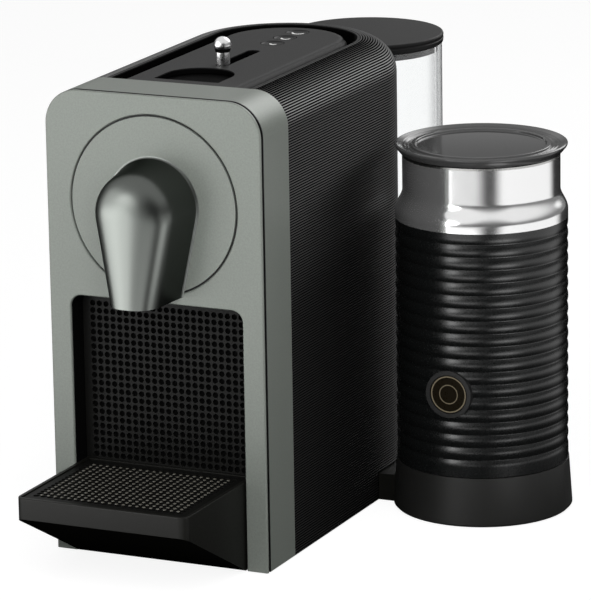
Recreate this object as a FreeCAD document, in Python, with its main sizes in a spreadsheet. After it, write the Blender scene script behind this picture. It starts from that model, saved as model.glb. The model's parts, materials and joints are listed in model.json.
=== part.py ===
"""Pod coffee machine with a swivelling water tank and milk frother. Millimetres, +Z up.

The origin is on the floor, on the axis about which the tank and the frother swing.
+X points to the right of a person in front of the machine, +Y to its rear.
"""
import FreeCAD, Part
import math
import os
import re

import Sketcher
from FreeCAD import Placement, Rotation, Vector
from fcgear import fcgear, involute

SIZES = {
    # Whole machine
    "body_width": 125.8,
    "pivot_depth": 164.0,
    "floor_gap": 0.8,
    "corner_round": 19.0,
    "slide_gap": 0.6,
    "close_gap": 0.4,
    "bore_gap": 0.06,
    # Front panel, gasket and frame
    "panel_thick": 1.4,
    "panel_round": 0.8,
    "shadow_gap": 1.8,
    "shadow_inset": 1.6,
    "frame_depth": 34.6,
    "frame_wall": 3.0,
    "frame_face": 2.4,
    "jamb_width": 12.2,
    "bay_round": 6.5,
    "liner_wall": 1.4,
    # Brew head cover, spout and coffee duct
    "head_height": 196.0,
    "disc_radius": 47.8,
    "disc_gap": 1.0,
    "head_crown": 10.2,
    "head_sill": 4.0,
    "spout_radius": 25.5,
    "spout_foot": 15.2,
    "spout_drop": 48.5,
    "spout_reach": 34.0,
    "spout_nose_radius": 20.5,
    "spout_nose_foot": 13.0,
    "spout_round": 10.0,
    "spout_wall": 5.0,
    "spout_hollow": 22.0,
    "outlet_radius": 7.0,
    "outlet_depth": 10.0,
    "duct_radius": 5.5,
    "duct_bore": 2.5,
    "nozzle_reach": 15.0,
    # Drip tray, grid, grille and capsule container
    "tray_side_gap": 0.7,
    "tray_reach": 70.0,
    "tray_top": 50.0,
    "tray_lip": 11.5,
    "tray_low": 1.0,
    "tray_wall": 2.2,
    "tray_ledge": 2.0,
    "tray_round": 5.0,
    "tray_edge": 0.6,
    "grille_depth": 12.5,
    "grille_thick": 1.5,
    "grille_low": 46.0,
    "grid_thick": 2.4,
    "grid_drop": 0.6,
    "hole_pitch": 4.0,
    "hole_radius": 1.6,
    "grid_hole_radius": 1.8,
    "hole_margin": 5.0,
    "box_rear_gap": 2.0,
    "box_low": 5.0,
    "box_wall": 2.0,
    # Body shell, top deck and slider
    "shell_wall": 2.5,
    "rim_land": 0.7,
    "rim_depth": 5.0,
    "skirt_height": 16.5,
    "skirt_start": 18.0,
    "deck_channel": 7.7,
    "deck_rail": 1.4,
    "deck_thick": 3.0,
    "deck_gutter": 8.5,
    "deck_drop": 11.0,
    "deck_round": 5.0,
    "hole_front": 42.0,
    "hole_half": 19.0,
    "hole_straight": 16.0,
    "knob_depth": 87.4,
    "knob_radius": 4.7,
    "knob_centre": 10.4,
    "neck_radius": 2.6,
    "stem_radius": 3.2,
    "shaft_radius": 3.8,
    "shaft_height": 7.0,
    "slot_width": 7.4,
    "slider_travel": 38.0,
    "shutter_half": 21.0,
    "shutter_thick": 2.2,
    "shutter_lap": 2.5,
    # Cup-size buttons and their board
    "button_depth": 150.3,
    "button_pitch": 16.5,
    "button_radius": 6.3,
    "button_flange": 1.1,
    "dish_depth": 0.8,
    "dish_side": 1.3,
    "dish_floor": 0.2,
    "button_travel": 1.5,
    "switch_height": 2.6,
    "switch_side": 6.0,
    "board_thick": 1.6,
    "board_half": 13.0,
    "post_radius": 2.0,
    # Base, chassis and inner works
    "plate_low": 1.2,
    "plate_thick": 3.0,
    "foot_radius": 7.0,
    "foot_spread": 42.0,
    "foot_front": 50.0,
    "foot_rear": 30.0,
    "screw_head": 3.2,
    "screw_shank": 1.6,
    "screw_length": 9.0,
    "bulkhead_ahead": 9.0,
    "bulkhead_thick": 3.0,
    "bulkhead_rise": 37.0,
    "shelf_low": 22.0,
    "shelf_thick": 3.0,
    "pump_radius": 17.0,
    "pump_length": 76.0,
    "pump_behind": 24.0,
    "pump_height": 70.0,
    "mount_width": 8.0,
    "mount_spread": 26.0,
    "hose_radius": 3.5,
    "hose_bore": 2.0,
    "hose_bend": 8.0,
    "hose_lead": 2.0,
    "hose_low": 38.0,
    "hose_drop": 13.0,
    "hose_rise": 40.0,
    "block_inner": 36.0,
    "block_side_gap": 3.0,
    "block_rear_gap": 3.0,
    "block_length": 60.0,
    "block_drop": 31.0,
    "block_height": 60.0,
    "board_behind": 45.0,
    "board_width": 60.0,
    "board_top": 135.0,
    "gland_height": 45.0,
    "gland_radius": 6.0,
    "gland_reach": 4.5,
    "gland_depth": 7.5,
    "gland_flange": 9.0,
    "gland_flange_thick": 2.5,
    # Brew unit
    "unit_half": 30.0,
    "unit_wall": 4.0,
    "unit_rise": 40.0,
    "unit_face": 6.4,
    "pierce_depth": 38.0,
    "pierce_thick": 4.0,
    "pierce_height": 40.0,
    "pierce_radius": 17.0,
    "pierce_boss": 1.5,
    "cage_rest": 5.2,
    "cage_length": 28.0,
    "cage_height": 48.0,
    "cage_bore": 16.0,
    "cage_floor": 6.0,
    "capsule_rim": 1.5,
    "screw_radius": 5.0,
    "gear_depth": 117.0,
    "gear_width": 6.0,
    "gear_module": 1.0,
    "gear_teeth": 40,
    "pinion_teeth": 12,
    "gear_play": 0.35,
    "gear_pressure_angle": 20.0,
    "gear_side_gap": 1.5,
    "gear_hub_gap": 1.8,
    "hub_radius": 8.0,
    "motor_radius": 14.0,
    "motor_length": 41.0,
    "shaft_radius": 2.0,
    # Swivel
    "post_foot": 20.0,
    "post_stem": 12.0,
    "hub_outer": 22.0,
    "hub_thick": 6.0,
    "arm_half": 17.5,
    "arm_clear": 0.9,
    "arm_top": 15.8,
    "arm_low": 0.6,
    # Water tank
    "tank_reach": 113.5,
    "tank_gap": 7.1,
    "tank_wall": 2.2,
    "tank_floor": 3.4,
    "tank_top": 232.0,
    "seat_wall": 2.5,
    "seat_top": 15.6,
    "seat_rim": 4.4,
    "spigot_radius": 5.0,
    "spigot_height": 8.0,
    "valve_radius": 11.0,
    "valve_flange": 14.0,
    "valve_height": 10.0,
    "tank_lid_lap": 1.1,
    "tank_lid_step": 1.0,
    "tank_lid_thick": 5.6,
    "tank_lid_edge": 3.4,
    "tank_plug_depth": 4.4,
    "tank_plug_wall": 1.8,
    # Milk frother
    "frother_reach": 118.4,
    "dock_flare": 2.2,
    "dock_foot_round": 1.3,
    "dock_step": 0.4,
    "dock_height": 28.0,
    "dock_wall": 3.0,
    "plug_radius": 10.3,
    "plug_flange": 14.0,
    "plug_rise": 6.0,
    "jug_gap": 8.0,
    "sleeve_wall": 3.2,
    "sleeve_top": 165.0,
    "jug_floor": 4.6,
    "rib_count": 18,
    "rib_pitch": 7.1,
    "rib_depth": 0.8,
    "rib_radius": 1.8,
    "rib_first": 38.0,
    "collar_straight": 6.5,
    "collar_shoulder": 8.5,
    "collar_inset": 4.2,
    "collar_wall": 1.1,
    "collar_top": 199.0,
    "pot_wall": 0.8,
    "pot_floor": 60.0,
    "pot_rim": 1.2,
    "heater_inset": 7.5,
    "heater_bore": 17.0,
    "heater_thick": 5.6,
    "mixer_radius": 15.0,
    "mixer_low": 37.0,
    "mixer_height": 14.6,
    "magnet_radius": 13.0,
    "magnet_thick": 5.0,
    "whisk_radius": 10.0,
    "whisk_wire": 1.5,
    "whisk_hub": 4.0,
    "whisk_height": 12.0,
    "press_height": 75.0,
    "press_radius": 10.5,
    "bezel_radius": 13.2,
    "bezel_proud": 1.1,
    "press_depth": 3.8,
    "jug_lid_inset": 0.1,
    "jug_lid_flare": 3.8,
    "jug_lid_lip": 1.8,
    "jug_lid_thick": 5.6,
    "jug_lid_dish": 2.2,
    "jug_lid_ring_inset": 11.5,
    "jug_lid_ring_width": 3.0,
    "jug_lid_ring_rise": 1.4,
    "jug_plug_inset": 7.9,
    "jug_plug_wall": 2.2,
    "jug_plug_depth": 8.6,
    "seal_width": 1.2,
    "seal_height": 3.0,
    "seal_drop": 3.0,
}

FOLLOWING = {
    # Heights that follow the brew head
    "body_height": "head_height + disc_radius + disc_gap + head_crown",
    "bay_top": "head_height - disc_radius - disc_gap - head_sill",
    "spout_low": "head_height - spout_drop",
    "unit_low": "head_height - unit_rise",
    "unit_top": "head_height + unit_rise",
    "bulkhead_top": "head_height + bulkhead_rise",
    "block_low": "head_height - block_drop",
    "hose_high": "head_height - block_drop - hose_drop",
    # Widths that follow the body
    "bay_width": "body_width - 2 * jamb_width",
    "tray_width": "body_width - 2 * jamb_width - 2 * tray_side_gap",
    "rim_half": "body_width / 2 - corner_round - rim_land",
    "deck_half": "body_width / 2 - corner_round - rim_land - deck_channel",
    "block_width": "body_width / 2 - shell_wall - close_gap - block_side_gap - block_inner",
    "hose_side": "pump_length / 2 + hose_bend + hose_lead",
    "arm_start": "body_width / 2 - shell_wall + arm_clear",
    # Depths that follow the drive gear
    "bulkhead_depth": "gear_depth - bulkhead_ahead",
    "block_front": "gear_depth - bulkhead_ahead - block_rear_gap - block_length",
    "box_depth": "gear_depth - bulkhead_ahead - box_rear_gap - grille_depth - grille_thick",
    "cage_front": "gear_depth - gear_hub_gap - unit_wall - cage_rest - cage_length",
    "cage_travel": "gear_depth - gear_hub_gap - unit_wall - cage_rest - cage_length"
                   " - pierce_depth - pierce_thick - pierce_boss - capsule_rim",
    # Radii that follow the reach of the swivel arms
    "tank_radius": "tank_reach - body_width / 2 - tank_gap",
    "seat_radius": "tank_reach - body_width / 2 - tank_gap + seat_wall",
    "tank_lid_radius": "tank_reach - body_width / 2 - tank_gap + tank_lid_lap",
    "jug_radius": "frother_reach - body_width / 2 - jug_gap",
    "dock_radius": "frother_reach - body_width / 2 - jug_gap + dock_flare",
    "dock_top_radius": "frother_reach - body_width / 2 - jug_gap + dock_step",
    "collar_radius": "frother_reach - body_width / 2 - jug_gap - collar_inset",
    "heater_radius": "frother_reach - body_width / 2 - jug_gap - heater_inset",
    "jug_lid_radius": "frother_reach - body_width / 2 - jug_gap - jug_lid_inset",
    "jug_lid_foot": "frother_reach - body_width / 2 - jug_gap - jug_lid_inset - jug_lid_flare",
    "jug_lid_ring": "frother_reach - body_width / 2 - jug_gap - jug_lid_ring_inset",
    "jug_plug_radius": "frother_reach - body_width / 2 - jug_gap - jug_plug_inset",
}

START, END, CENTRE = range(1, 4)
ROOT = -START
TOLERANCE = 1e-4
APART = 1.0
HOSE_TOLERANCE = 0.01
QUARTER_TURN = 90.0
ALIAS = re.compile(r"\b[a-z]+_[a-z_]+\b")

doc = FreeCAD.newDocument("pod_coffee_machine")
sheet = doc.addObject("Spreadsheet::Sheet", "Sizes")
formulas = {alias: f"={formula}" for alias, formula in FOLLOWING.items()}
for row, (alias, value) in enumerate({**SIZES, **formulas}.items(), start=1):
    sheet.set(f"A{row}", alias)
    sheet.set(f"B{row}", str(value))
    sheet.setAlias(f"B{row}", alias)
doc.recompute()
parts = []


def cells(expression):
    """Expression with every alias pointed at the sheet."""
    return ALIAS.sub(r"Sizes.\g<0>", str(expression))


def size(expression):
    """Value of an expression of aliases."""
    return float(sheet.evalExpression(cells(expression)))


def depth(expression):
    """Y of a place given by its distance behind the front face of the panel."""
    return f"({expression} - pivot_depth)"


def bind(item, **expressions):
    """Tie properties to the sheet; a double underscore stands for a dot."""
    for name, expression in expressions.items():
        item.setExpression(name.replace("__", "."), cells(expression))


def keep(item, label):
    """Name a finished sub-part and list it for export."""
    item.Label = label
    parts.append(item)
    return item


def new_body(label, x="0", y="0", whole=True):
    """Empty body whose own origin stands at x, y on the floor, a sub-part if it is whole."""
    body = doc.addObject("PartDesign::Body", label)
    bind(body, Placement__Base__x=x, Placement__Base__y=y)
    return keep(body, label) if whole else body


def sketch_on(body, role, offset="0"):
    """Sketch on an origin plane of the body, moved along the plane's normal."""
    sketch = body.newObject("Sketcher::SketchObject", f"{body.Name}_sketch")
    sketch.AttachmentSupport = (next(f for f in body.Origin.OriginFeatures if f.Role == role), [""])
    sketch.MapMode = "FlatFace"
    bind(sketch, AttachmentOffset__Base__z=offset)
    return sketch


def measure(sketch, kind, *place_and_size):
    """Add a dimension to a sketch and tie it to its expression, the last argument."""
    *place, expression = place_and_size
    index = sketch.addConstraint(Sketcher.Constraint(kind, *place, size(expression)))
    sketch.setExpression(f"Constraints[{index}]", cells(expression))


def pin(sketch, geometry, point, x, y):
    """Fix a point of a sketch by its two coordinates."""
    measure(sketch, "DistanceX", ROOT, 1, geometry, point, x)
    measure(sketch, "DistanceY", ROOT, 1, geometry, point, y)


def join(sketch, first, second):
    """Let the second edge start where the first one ends."""
    sketch.addConstraint(Sketcher.Constraint("Coincident", first, END, second, START))


def polygon(sketch, points):
    """Closed outline through points, each a pair of expressions."""
    corners = [Vector(size(x), size(y), 0) for x, y in points]
    following = corners[1:] + corners[:1]
    edges = [sketch.addGeometry(Part.LineSegment(a, b)) for a, b in zip(corners, following)]
    for edge, after in zip(edges, edges[1:] + edges[:1]):
        join(sketch, edge, after)
    for edge, (x, y) in zip(edges, points):
        pin(sketch, edge, START, x, y)
    return sketch


def rectangle(sketch, half, low, high):
    """Rectangle that is centred across the sketch."""
    return polygon(sketch, [(f"-({half})", low), (half, low), (half, high), (f"-({half})", high)])


def archway(sketch, half, low, top, radius):
    """Upright outline with square bottom corners and round top corners."""
    w, z, high, r = (size(value) for value in (half, low, top, radius))
    spring = high - r
    right_turn = Part.Circle(Vector(w - r, spring, 0), Vector(0, 0, 1), r)
    left_turn = Part.Circle(Vector(r - w, spring, 0), Vector(0, 0, 1), r)
    sill = sketch.addGeometry(Part.LineSegment(Vector(-w, z, 0), Vector(w, z, 0)))
    right = sketch.addGeometry(Part.LineSegment(Vector(w, z, 0), Vector(w, spring, 0)))
    right_arc = sketch.addGeometry(Part.ArcOfCircle(right_turn, 0, math.pi / 2))
    lintel = sketch.addGeometry(Part.LineSegment(Vector(w - r, high, 0), Vector(r - w, high, 0)))
    left_arc = sketch.addGeometry(Part.ArcOfCircle(left_turn, math.pi / 2, math.pi))
    left = sketch.addGeometry(Part.LineSegment(Vector(-w, spring, 0), Vector(-w, z, 0)))
    join(sketch, sill, right)
    join(sketch, left, sill)
    for first, second in ((right, right_arc), (right_arc, lintel), (lintel, left_arc), (left_arc, left)):
        sketch.addConstraint(Sketcher.Constraint("Tangent", first, END, second, START))
    pin(sketch, sill, START, f"-({half})", low)
    pin(sketch, sill, END, half, low)
    sketch.addConstraint(Sketcher.Constraint("Vertical", right))
    sketch.addConstraint(Sketcher.Constraint("Vertical", left))
    sketch.addConstraint(Sketcher.Constraint("Horizontal", lintel))
    measure(sketch, "DistanceY", ROOT, 1, lintel, START, top)
    measure(sketch, "Radius", right_arc, radius)
    measure(sketch, "Radius", left_arc, radius)
    return sketch


def circle(sketch, x, y, radius):
    """Circle by its centre and radius."""
    middle = Vector(size(x), size(y), 0)
    ring = sketch.addGeometry(Part.Circle(middle, Vector(0, 0, 1), size(radius)))
    pin(sketch, ring, CENTRE, x, y)
    measure(sketch, "Radius", ring, radius)
    return sketch


def round_end(sketch, half, centre, front):
    """Straight sides from the line y = front to a half circle about (0, centre)."""
    r, c, f = size(half), size(centre), size(front)
    outline = Part.Circle(Vector(0, c, 0), Vector(0, 0, 1), r)
    arc = sketch.addGeometry(Part.ArcOfCircle(outline, 0, math.pi))
    left = sketch.addGeometry(Part.LineSegment(Vector(-r, c, 0), Vector(-r, f, 0)))
    across = sketch.addGeometry(Part.LineSegment(Vector(-r, f, 0), Vector(r, f, 0)))
    right = sketch.addGeometry(Part.LineSegment(Vector(r, f, 0), Vector(r, c, 0)))
    for first, second in ((arc, left), (left, across), (across, right), (right, arc)):
        join(sketch, first, second)
    pin(sketch, arc, CENTRE, "0", centre)
    measure(sketch, "Radius", arc, half)
    for end in (START, END):
        sketch.addConstraint(Sketcher.Constraint("Horizontal", arc, end, arc, CENTRE))
    sketch.addConstraint(Sketcher.Constraint("Vertical", left))
    sketch.addConstraint(Sketcher.Constraint("Vertical", right))
    sketch.addConstraint(Sketcher.Constraint("Horizontal", across))
    measure(sketch, "DistanceY", ROOT, 1, across, START, front)
    return sketch


def teardrop(sketch, radius, centre, foot, low):
    """Circle about (0, centre) whose tangents run down to the points (+-foot, low)."""
    r, c, w, z = (size(value) for value in (radius, centre, foot, low))
    turn = math.atan2(z - c, w) + math.acos(r / math.hypot(w, z - c))
    touch = Vector(r * math.cos(turn), c + r * math.sin(turn), 0)
    mirror = Vector(-touch.x, touch.y, 0)
    outline = Part.Circle(Vector(0, c, 0), Vector(0, 0, 1), r)
    arc = sketch.addGeometry(Part.ArcOfCircle(outline, turn, math.pi - turn))
    left = sketch.addGeometry(Part.LineSegment(mirror, Vector(-w, z, 0)))
    across = sketch.addGeometry(Part.LineSegment(Vector(-w, z, 0), Vector(w, z, 0)))
    right = sketch.addGeometry(Part.LineSegment(Vector(w, z, 0), touch))
    join(sketch, left, across)
    join(sketch, across, right)
    sketch.addConstraint(Sketcher.Constraint("Tangent", arc, END, left, START))
    sketch.addConstraint(Sketcher.Constraint("Tangent", right, END, arc, START))
    pin(sketch, arc, CENTRE, "0", centre)
    measure(sketch, "Radius", arc, radius)
    pin(sketch, across, START, f"-({foot})", low)
    pin(sketch, across, END, foot, low)
    return sketch


def pad(body, sketch, length, midplane=False):
    """Material from the sketch along the normal of its plane."""
    feature = body.newObject("PartDesign::Pad", f"{body.Name}_pad")
    feature.Profile = sketch
    feature.Midplane = midplane
    bind(feature, Length=length)
    doc.recompute()
    return feature


def pocket(body, sketch, length, midplane=False):
    """Cut from the sketch against the normal of its plane; it has to remove material."""
    before = body.Shape.Volume
    feature = body.newObject("PartDesign::Pocket", f"{body.Name}_pocket")
    feature.Profile = sketch
    feature.Midplane = midplane
    bind(feature, Length=length)
    doc.recompute()
    if body.Shape.Volume >= before:
        raise ValueError(f"a cut in {body.Label} removes nothing")
    return feature


def round_edges(body, radius, chosen):
    """Fillet the edges of the body whose boxes pass the test."""
    base = body.Tip
    picked = [f"Edge{i}" for i, edge in enumerate(base.Shape.Edges, 1) if chosen(edge.BoundBox)]
    feature = body.newObject("PartDesign::Fillet", f"{body.Name}_fillet")
    feature.Base = (base, picked)
    bind(feature, Radius=radius)
    doc.recompute()
    return feature


def same(a, b):
    """Equal to within a small tolerance."""
    return abs(a - b) < TOLERANCE


def lathe(label, points, x="0", y="0", whole=True):
    """Body turned about its own Z axis from a profile of (radius, height) points."""
    body = new_body(label, x, y, whole)
    sketch = polygon(sketch_on(body, "XZ_Plane"), points)
    turned = body.newObject("PartDesign::Revolution", f"{label}_turned")
    turned.Profile = sketch
    turned.ReferenceAxis = (sketch, ["V_Axis"])
    turned.Angle = 360
    doc.recompute()
    return body


def block(name, x, y, z):
    """Box between pairs of expressions."""
    box = doc.addObject("Part::Box", name)
    bind(box, Length=f"{x[1]} - ({x[0]})", Width=f"{y[1]} - ({y[0]})", Height=f"{z[1]} - ({z[0]})")
    bind(box, Placement__Base__x=x[0], Placement__Base__y=y[0], Placement__Base__z=z[0])
    return box


def rod(name, radius, axis, span, x="0", y="0", z="0"):
    """Cylinder along an axis over the span of two expressions."""
    cylinder = doc.addObject("Part::Cylinder", name)
    cylinder.Placement = Placement(Vector(), Rotation(Vector(0, 0, 1), axis))
    place = {"x": x, "y": y, "z": z}
    place["xyz"[[axis.x, axis.y, axis.z].index(1)]] = span[0]
    bind(cylinder, Radius=radius, Height=f"{span[1]} - ({span[0]})")
    bind(cylinder, **{f"Placement__Base__{name}": where for name, where in place.items()})
    return cylinder


def fuse(name, *shapes):
    """One solid of several that touch or overlap."""
    union = doc.addObject("Part::MultiFuse", name)
    union.Shapes = list(shapes)
    union.Refine = True
    return union


def cut(name, base, *tools):
    """Base less the tools, each of which has to remove material."""
    for index, tool in enumerate(tools):
        less = doc.addObject("Part::Cut", f"{name}_{index}")
        less.Base = base
        less.Tool = tool
        doc.recompute()
        if less.Shape.Volume >= base.Shape.Volume:
            raise ValueError(f"cut {index} of {name} removes nothing")
        base = less
    return base


def group(name, *solids):
    """Several separate solids that share one node."""
    together = doc.addObject("Part::Compound", name)
    together.Links = list(solids)
    return together


def solid(name, shape):
    """Node whose shape is worked out here."""
    feature = doc.addObject("Part::Feature", name)
    feature.Shape = shape
    return feature


X_AXIS, Y_AXIS, Z_AXIS = Vector(1, 0, 0), Vector(0, 1, 0), Vector(0, 0, 1)
BODY_HALF = "body_width / 2"
SEAT_DEPTH = "panel_thick + shadow_gap"
LINER_HALF = "bay_width / 2 + liner_wall"
LINER_TOP = "bay_top + liner_wall"
DUCT_HOLE = "duct_radius + close_gap"


def arch(label, half, top, radius, near, far):
    """Plate over the front, from the floor gap to its top, with round top corners."""
    body = new_body(label)
    sketch = sketch_on(body, "XZ_Plane", f"pivot_depth - ({far})")
    pad(body, archway(sketch, half, "floor_gap", top, radius), f"{far} - ({near})")
    return body


def front_opening(body, half, top, radius, near, far):
    """Doorway through a front plate, open at the floor, with round top corners."""
    sketch = sketch_on(body, "XZ_Plane", f"pivot_depth - ({near})")
    pocket(body, archway(sketch, half, "0", top, radius), f"{far} - ({near})")


def front_hole(body, radius, near, far):
    """Round hole through a front plate at the brew head."""
    sketch = sketch_on(body, "XZ_Plane", f"pivot_depth - ({near})")
    pocket(body, circle(sketch, "0", "head_height", radius), f"{far} - ({near})")


def front_panel():
    """Painted face plate with the doorway of the cup bay and the hole for the brew head cover."""
    body = arch("front_panel", BODY_HALF, "body_height", "corner_round", "0", "panel_thick")
    front_opening(body, "bay_width / 2", "bay_top", "bay_round", "0", "panel_thick")
    front_hole(body, "disc_radius + disc_gap", "0", "panel_thick")
    face = size(depth("0"))
    floor = size("floor_gap")
    round_edges(body, "panel_round", lambda box: same(box.YMax, face) and box.ZMax > floor + APART)


def panel_gasket():
    """Dark backing that sets the panel off from the frame and carries the brew head cover."""
    half, top = f"{BODY_HALF} - shadow_inset", "body_height - shadow_inset"
    body = arch("panel_gasket", half, top, "corner_round - shadow_inset", "panel_thick", SEAT_DEPTH)
    front_opening(body, LINER_HALF, LINER_TOP, "bay_round + liner_wall", "panel_thick", SEAT_DEPTH)
    front_hole(body, DUCT_HOLE, "panel_thick", SEAT_DEPTH)


def front_frame():
    """Deep painted surround: a face wall with arched sides behind it."""
    body = arch("front_frame", BODY_HALF, "body_height", "corner_round", SEAT_DEPTH, "frame_depth")
    half, top = f"{BODY_HALF} - frame_wall", "body_height - frame_wall"
    face = f"{SEAT_DEPTH} + frame_face"
    front_opening(body, half, top, "corner_round - frame_wall", face, "frame_depth")
    front_opening(body, LINER_HALF, LINER_TOP, "bay_round + liner_wall", SEAT_DEPTH, face)
    front_hole(body, DUCT_HOLE, SEAT_DEPTH, face)


def bay_liner():
    """Black sides and roof of the cup bay, in which the drawer slides."""
    body = arch("bay_liner", LINER_HALF, LINER_TOP, "bay_round + liner_wall", "panel_thick", "frame_depth")
    front_opening(body, "bay_width / 2", "bay_top", "bay_round", "panel_thick", "frame_depth")


def brew_head():
    """Round cover flush with the panel, and the nose with the coffee nozzle."""
    cover = new_body("brew_head_disc")
    face = sketch_on(cover, "XZ_Plane", "pivot_depth - panel_thick")
    pad(cover, circle(face, "0", "head_height", "disc_radius"), "panel_thick")
    front_hole(cover, DUCT_HOLE, "0", "panel_thick")

    nose = new_body("spout_housing")
    root = teardrop(sketch_on(nose, "XZ_Plane", "pivot_depth"),
                    "spout_radius", "head_height", "spout_foot", "spout_low")
    tip = teardrop(sketch_on(nose, "XZ_Plane", "pivot_depth + spout_reach"),
                   "spout_nose_radius", "head_height", "spout_nose_foot", "spout_low")
    loft = nose.newObject("PartDesign::AdditiveLoft", "spout_loft")
    loft.Profile = root
    loft.Sections = [tip]
    loft.Ruled = True
    doc.recompute()
    front = size(depth("-spout_reach"))
    low = size("spout_low")
    round_edges(nose, "spout_round", lambda box: same(box.YMax, front) and box.ZMax > low + APART)
    hollow = teardrop(sketch_on(nose, "XZ_Plane", "pivot_depth + spout_hollow"),
                      "spout_nose_radius - spout_wall", "head_height",
                      "spout_nose_foot - spout_wall", "spout_low + spout_wall")
    pocket(nose, hollow, "spout_hollow")
    mouth = sketch_on(nose, "XY_Plane", "spout_low + outlet_depth")
    pocket(nose, circle(mouth, "0", depth("-nozzle_reach"), "outlet_radius"), "outlet_depth")

    back = depth("pierce_depth")
    drop = depth("-nozzle_reach")
    fall = ("spout_low + liner_wall", "head_height")
    run = (drop, back)
    tube = fuse("duct", rod("duct_fall", "duct_radius", Z_AXIS, fall, y=drop),
                rod("duct_run", "duct_radius", Y_AXIS, run, z="head_height"))
    bore = fuse("duct_bores", rod("bore_fall", "duct_bore", Z_AXIS, fall, y=drop),
                rod("bore_run", "duct_bore", Y_AXIS, run, z="head_height"))
    keep(cut("nozzle", tube, bore), "coffee_nozzle")


def perforated(name, radius, width, height, thick, place, corner=None):
    """Plate in its own XY plane with a lattice of round holes; its upper corners may be round."""
    margin, pitch = size("hole_margin"), size("hole_pitch")
    across = int((width - 2 * margin) // pitch)
    up = int((height - 2 * margin) // pitch)
    edge = Part.makePolygon([Vector(x, y, 0) for x, y in
                             ((0, 0), (width, 0), (width, height), (0, height), (0, 0))])
    left, low = (width - across * pitch) / 2, (height - up * pitch) / 2
    places = [(i, j) for i in range(across + 1) for j in range(up + 1)]
    centres = [Vector(left + i * pitch, low + j * pitch, 0) for i, j in places]
    holes = [Part.Wire(Part.makeCircle(radius, centre, -Z_AXIS)) for centre in centres]
    slab = Part.Face([edge] + holes).extrude(Vector(0, 0, thick))
    if corner:
        uprights = [e for e in slab.Edges if same(e.BoundBox.YMin, height) and same(e.BoundBox.XLength, 0)]
        slab = slab.makeFillet(corner, uprights)
    plate = solid(name, slab)
    plate.Placement = place
    return keep(plate, name)


def drawer():
    """Drip tray, perforated grid and grille, and the capsule container behind the grille."""
    tray = new_body("drip_tray")
    front, rear = depth("-tray_reach"), depth("grille_depth")
    side = sketch_on(tray, "YZ_Plane")
    polygon(side, [(front, "tray_top"), (front, "tray_top - tray_lip"), (depth("0"), "tray_low"),
                   (rear, "tray_low"), (rear, "tray_top")])
    pad(tray, side, "tray_width", midplane=True)
    at, half = size(front), size("tray_width / 2")
    round_edges(tray, "tray_round", lambda box: same(box.YMin, at) and same(box.YMax, at)
                and same(abs(box.XMin), half) and same(box.XMin, box.XMax))
    level, back = size("tray_top"), size(rear)
    round_edges(tray, "tray_edge", lambda box: same(box.ZMin, level) and box.YMin < back - APART)
    inner_front, inner_rear = f"{front} + tray_wall", f"{rear} - tray_wall"
    seat = "tray_top - grid_drop - grid_thick - close_gap"
    recess = sketch_on(tray, "YZ_Plane")
    polygon(recess, [(inner_front, "tray_top + tray_wall"), (inner_front, seat), (inner_rear, seat),
                     (inner_rear, "tray_top + tray_wall")])
    pocket(tray, recess, "tray_width - 2 * tray_wall", midplane=True)
    basin = sketch_on(tray, "YZ_Plane")
    polygon(basin, [(f"{inner_front} + tray_ledge", "tray_top"),
                    (f"{inner_front} + tray_ledge", "tray_top - tray_lip + tray_wall"),
                    (depth("tray_wall"), "tray_low + 2 * tray_wall"),
                    (f"{inner_rear} - tray_ledge", "tray_low + 2 * tray_wall"),
                    (f"{inner_rear} - tray_ledge", "tray_top")])
    pocket(tray, basin, "tray_width - 2 * tray_wall - 2 * tray_ledge", midplane=True)

    grid_half = size("tray_width / 2 - tray_wall - slide_gap")
    grid_from, grid_to = size(f"{inner_front} + slide_gap"), size(f"{inner_rear} - slide_gap")
    perforated("drip_grid", size("grid_hole_radius"), 2 * grid_half, grid_to - grid_from, size("grid_thick"),
               Placement(Vector(-grid_half, grid_from, size(f"{seat} + close_gap")), Rotation()))

    box_half, box_top, box_round = "tray_width / 2", "bay_top - slide_gap", "bay_round - slide_gap"
    wide = size("tray_width")
    tall = size(f"{box_top} - grille_low")
    upright = Rotation(X_AXIS, 90)
    perforated("bay_grille", size("hole_radius"), wide, tall, size("grille_thick"),
               Placement(Vector(-wide / 2, size(f"{rear} + grille_thick"), size("grille_low")), upright),
               size(box_round))

    bin_front = "grille_depth + grille_thick"
    container = new_body("capsule_container")
    outer = sketch_on(container, "XZ_Plane", f"pivot_depth - ({bin_front} + box_depth)")
    pad(container, archway(outer, box_half, "box_low", box_top, box_round), "box_depth")
    inner = sketch_on(container, "XY_Plane", box_top)
    rectangle(inner, f"{box_half} - box_wall", depth(f"({bin_front} + box_wall)"),
              depth(f"({bin_front} + box_depth - box_wall)"))
    pocket(container, inner, f"{box_top} - box_low - box_wall")


def body_shell():
    """Round-backed cover with a rounded top edge, a top opening and a raised rear skirt."""
    body = new_body("body_shell")
    front = depth("frame_depth")
    plan = sketch_on(body, "XY_Plane", "floor_gap")
    pad(body, round_end(plan, BODY_HALF, "0", front), "body_height - floor_gap")
    inside = sketch_on(body, "XY_Plane", "body_height - shell_wall")
    pocket(body, round_end(inside, f"{BODY_HALF} - shell_wall", "0", f"{front} - shell_wall"),
           "body_height - shell_wall - floor_gap")
    edge = size(front)
    for height, radius in (("body_height - shell_wall", "corner_round - shell_wall"),
                           ("body_height", "corner_round")):
        level = size(height)
        round_edges(body, radius, lambda box: same(box.ZMin, level) and box.YMax > edge + APART)
    opening = sketch_on(body, "XY_Plane", "body_height")
    pocket(body, round_end(opening, "rim_half", "0", f"{front} - shell_wall"), "rim_depth")
    skirt = sketch_on(body, "XY_Plane", "skirt_height")
    pocket(body, rectangle(skirt, "body_width", "-skirt_start", "body_width"), "skirt_height")
    gland = sketch_on(body, "XZ_Plane")
    pocket(body, circle(gland, "0", "gland_height", "gland_radius"), "body_width")


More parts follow.
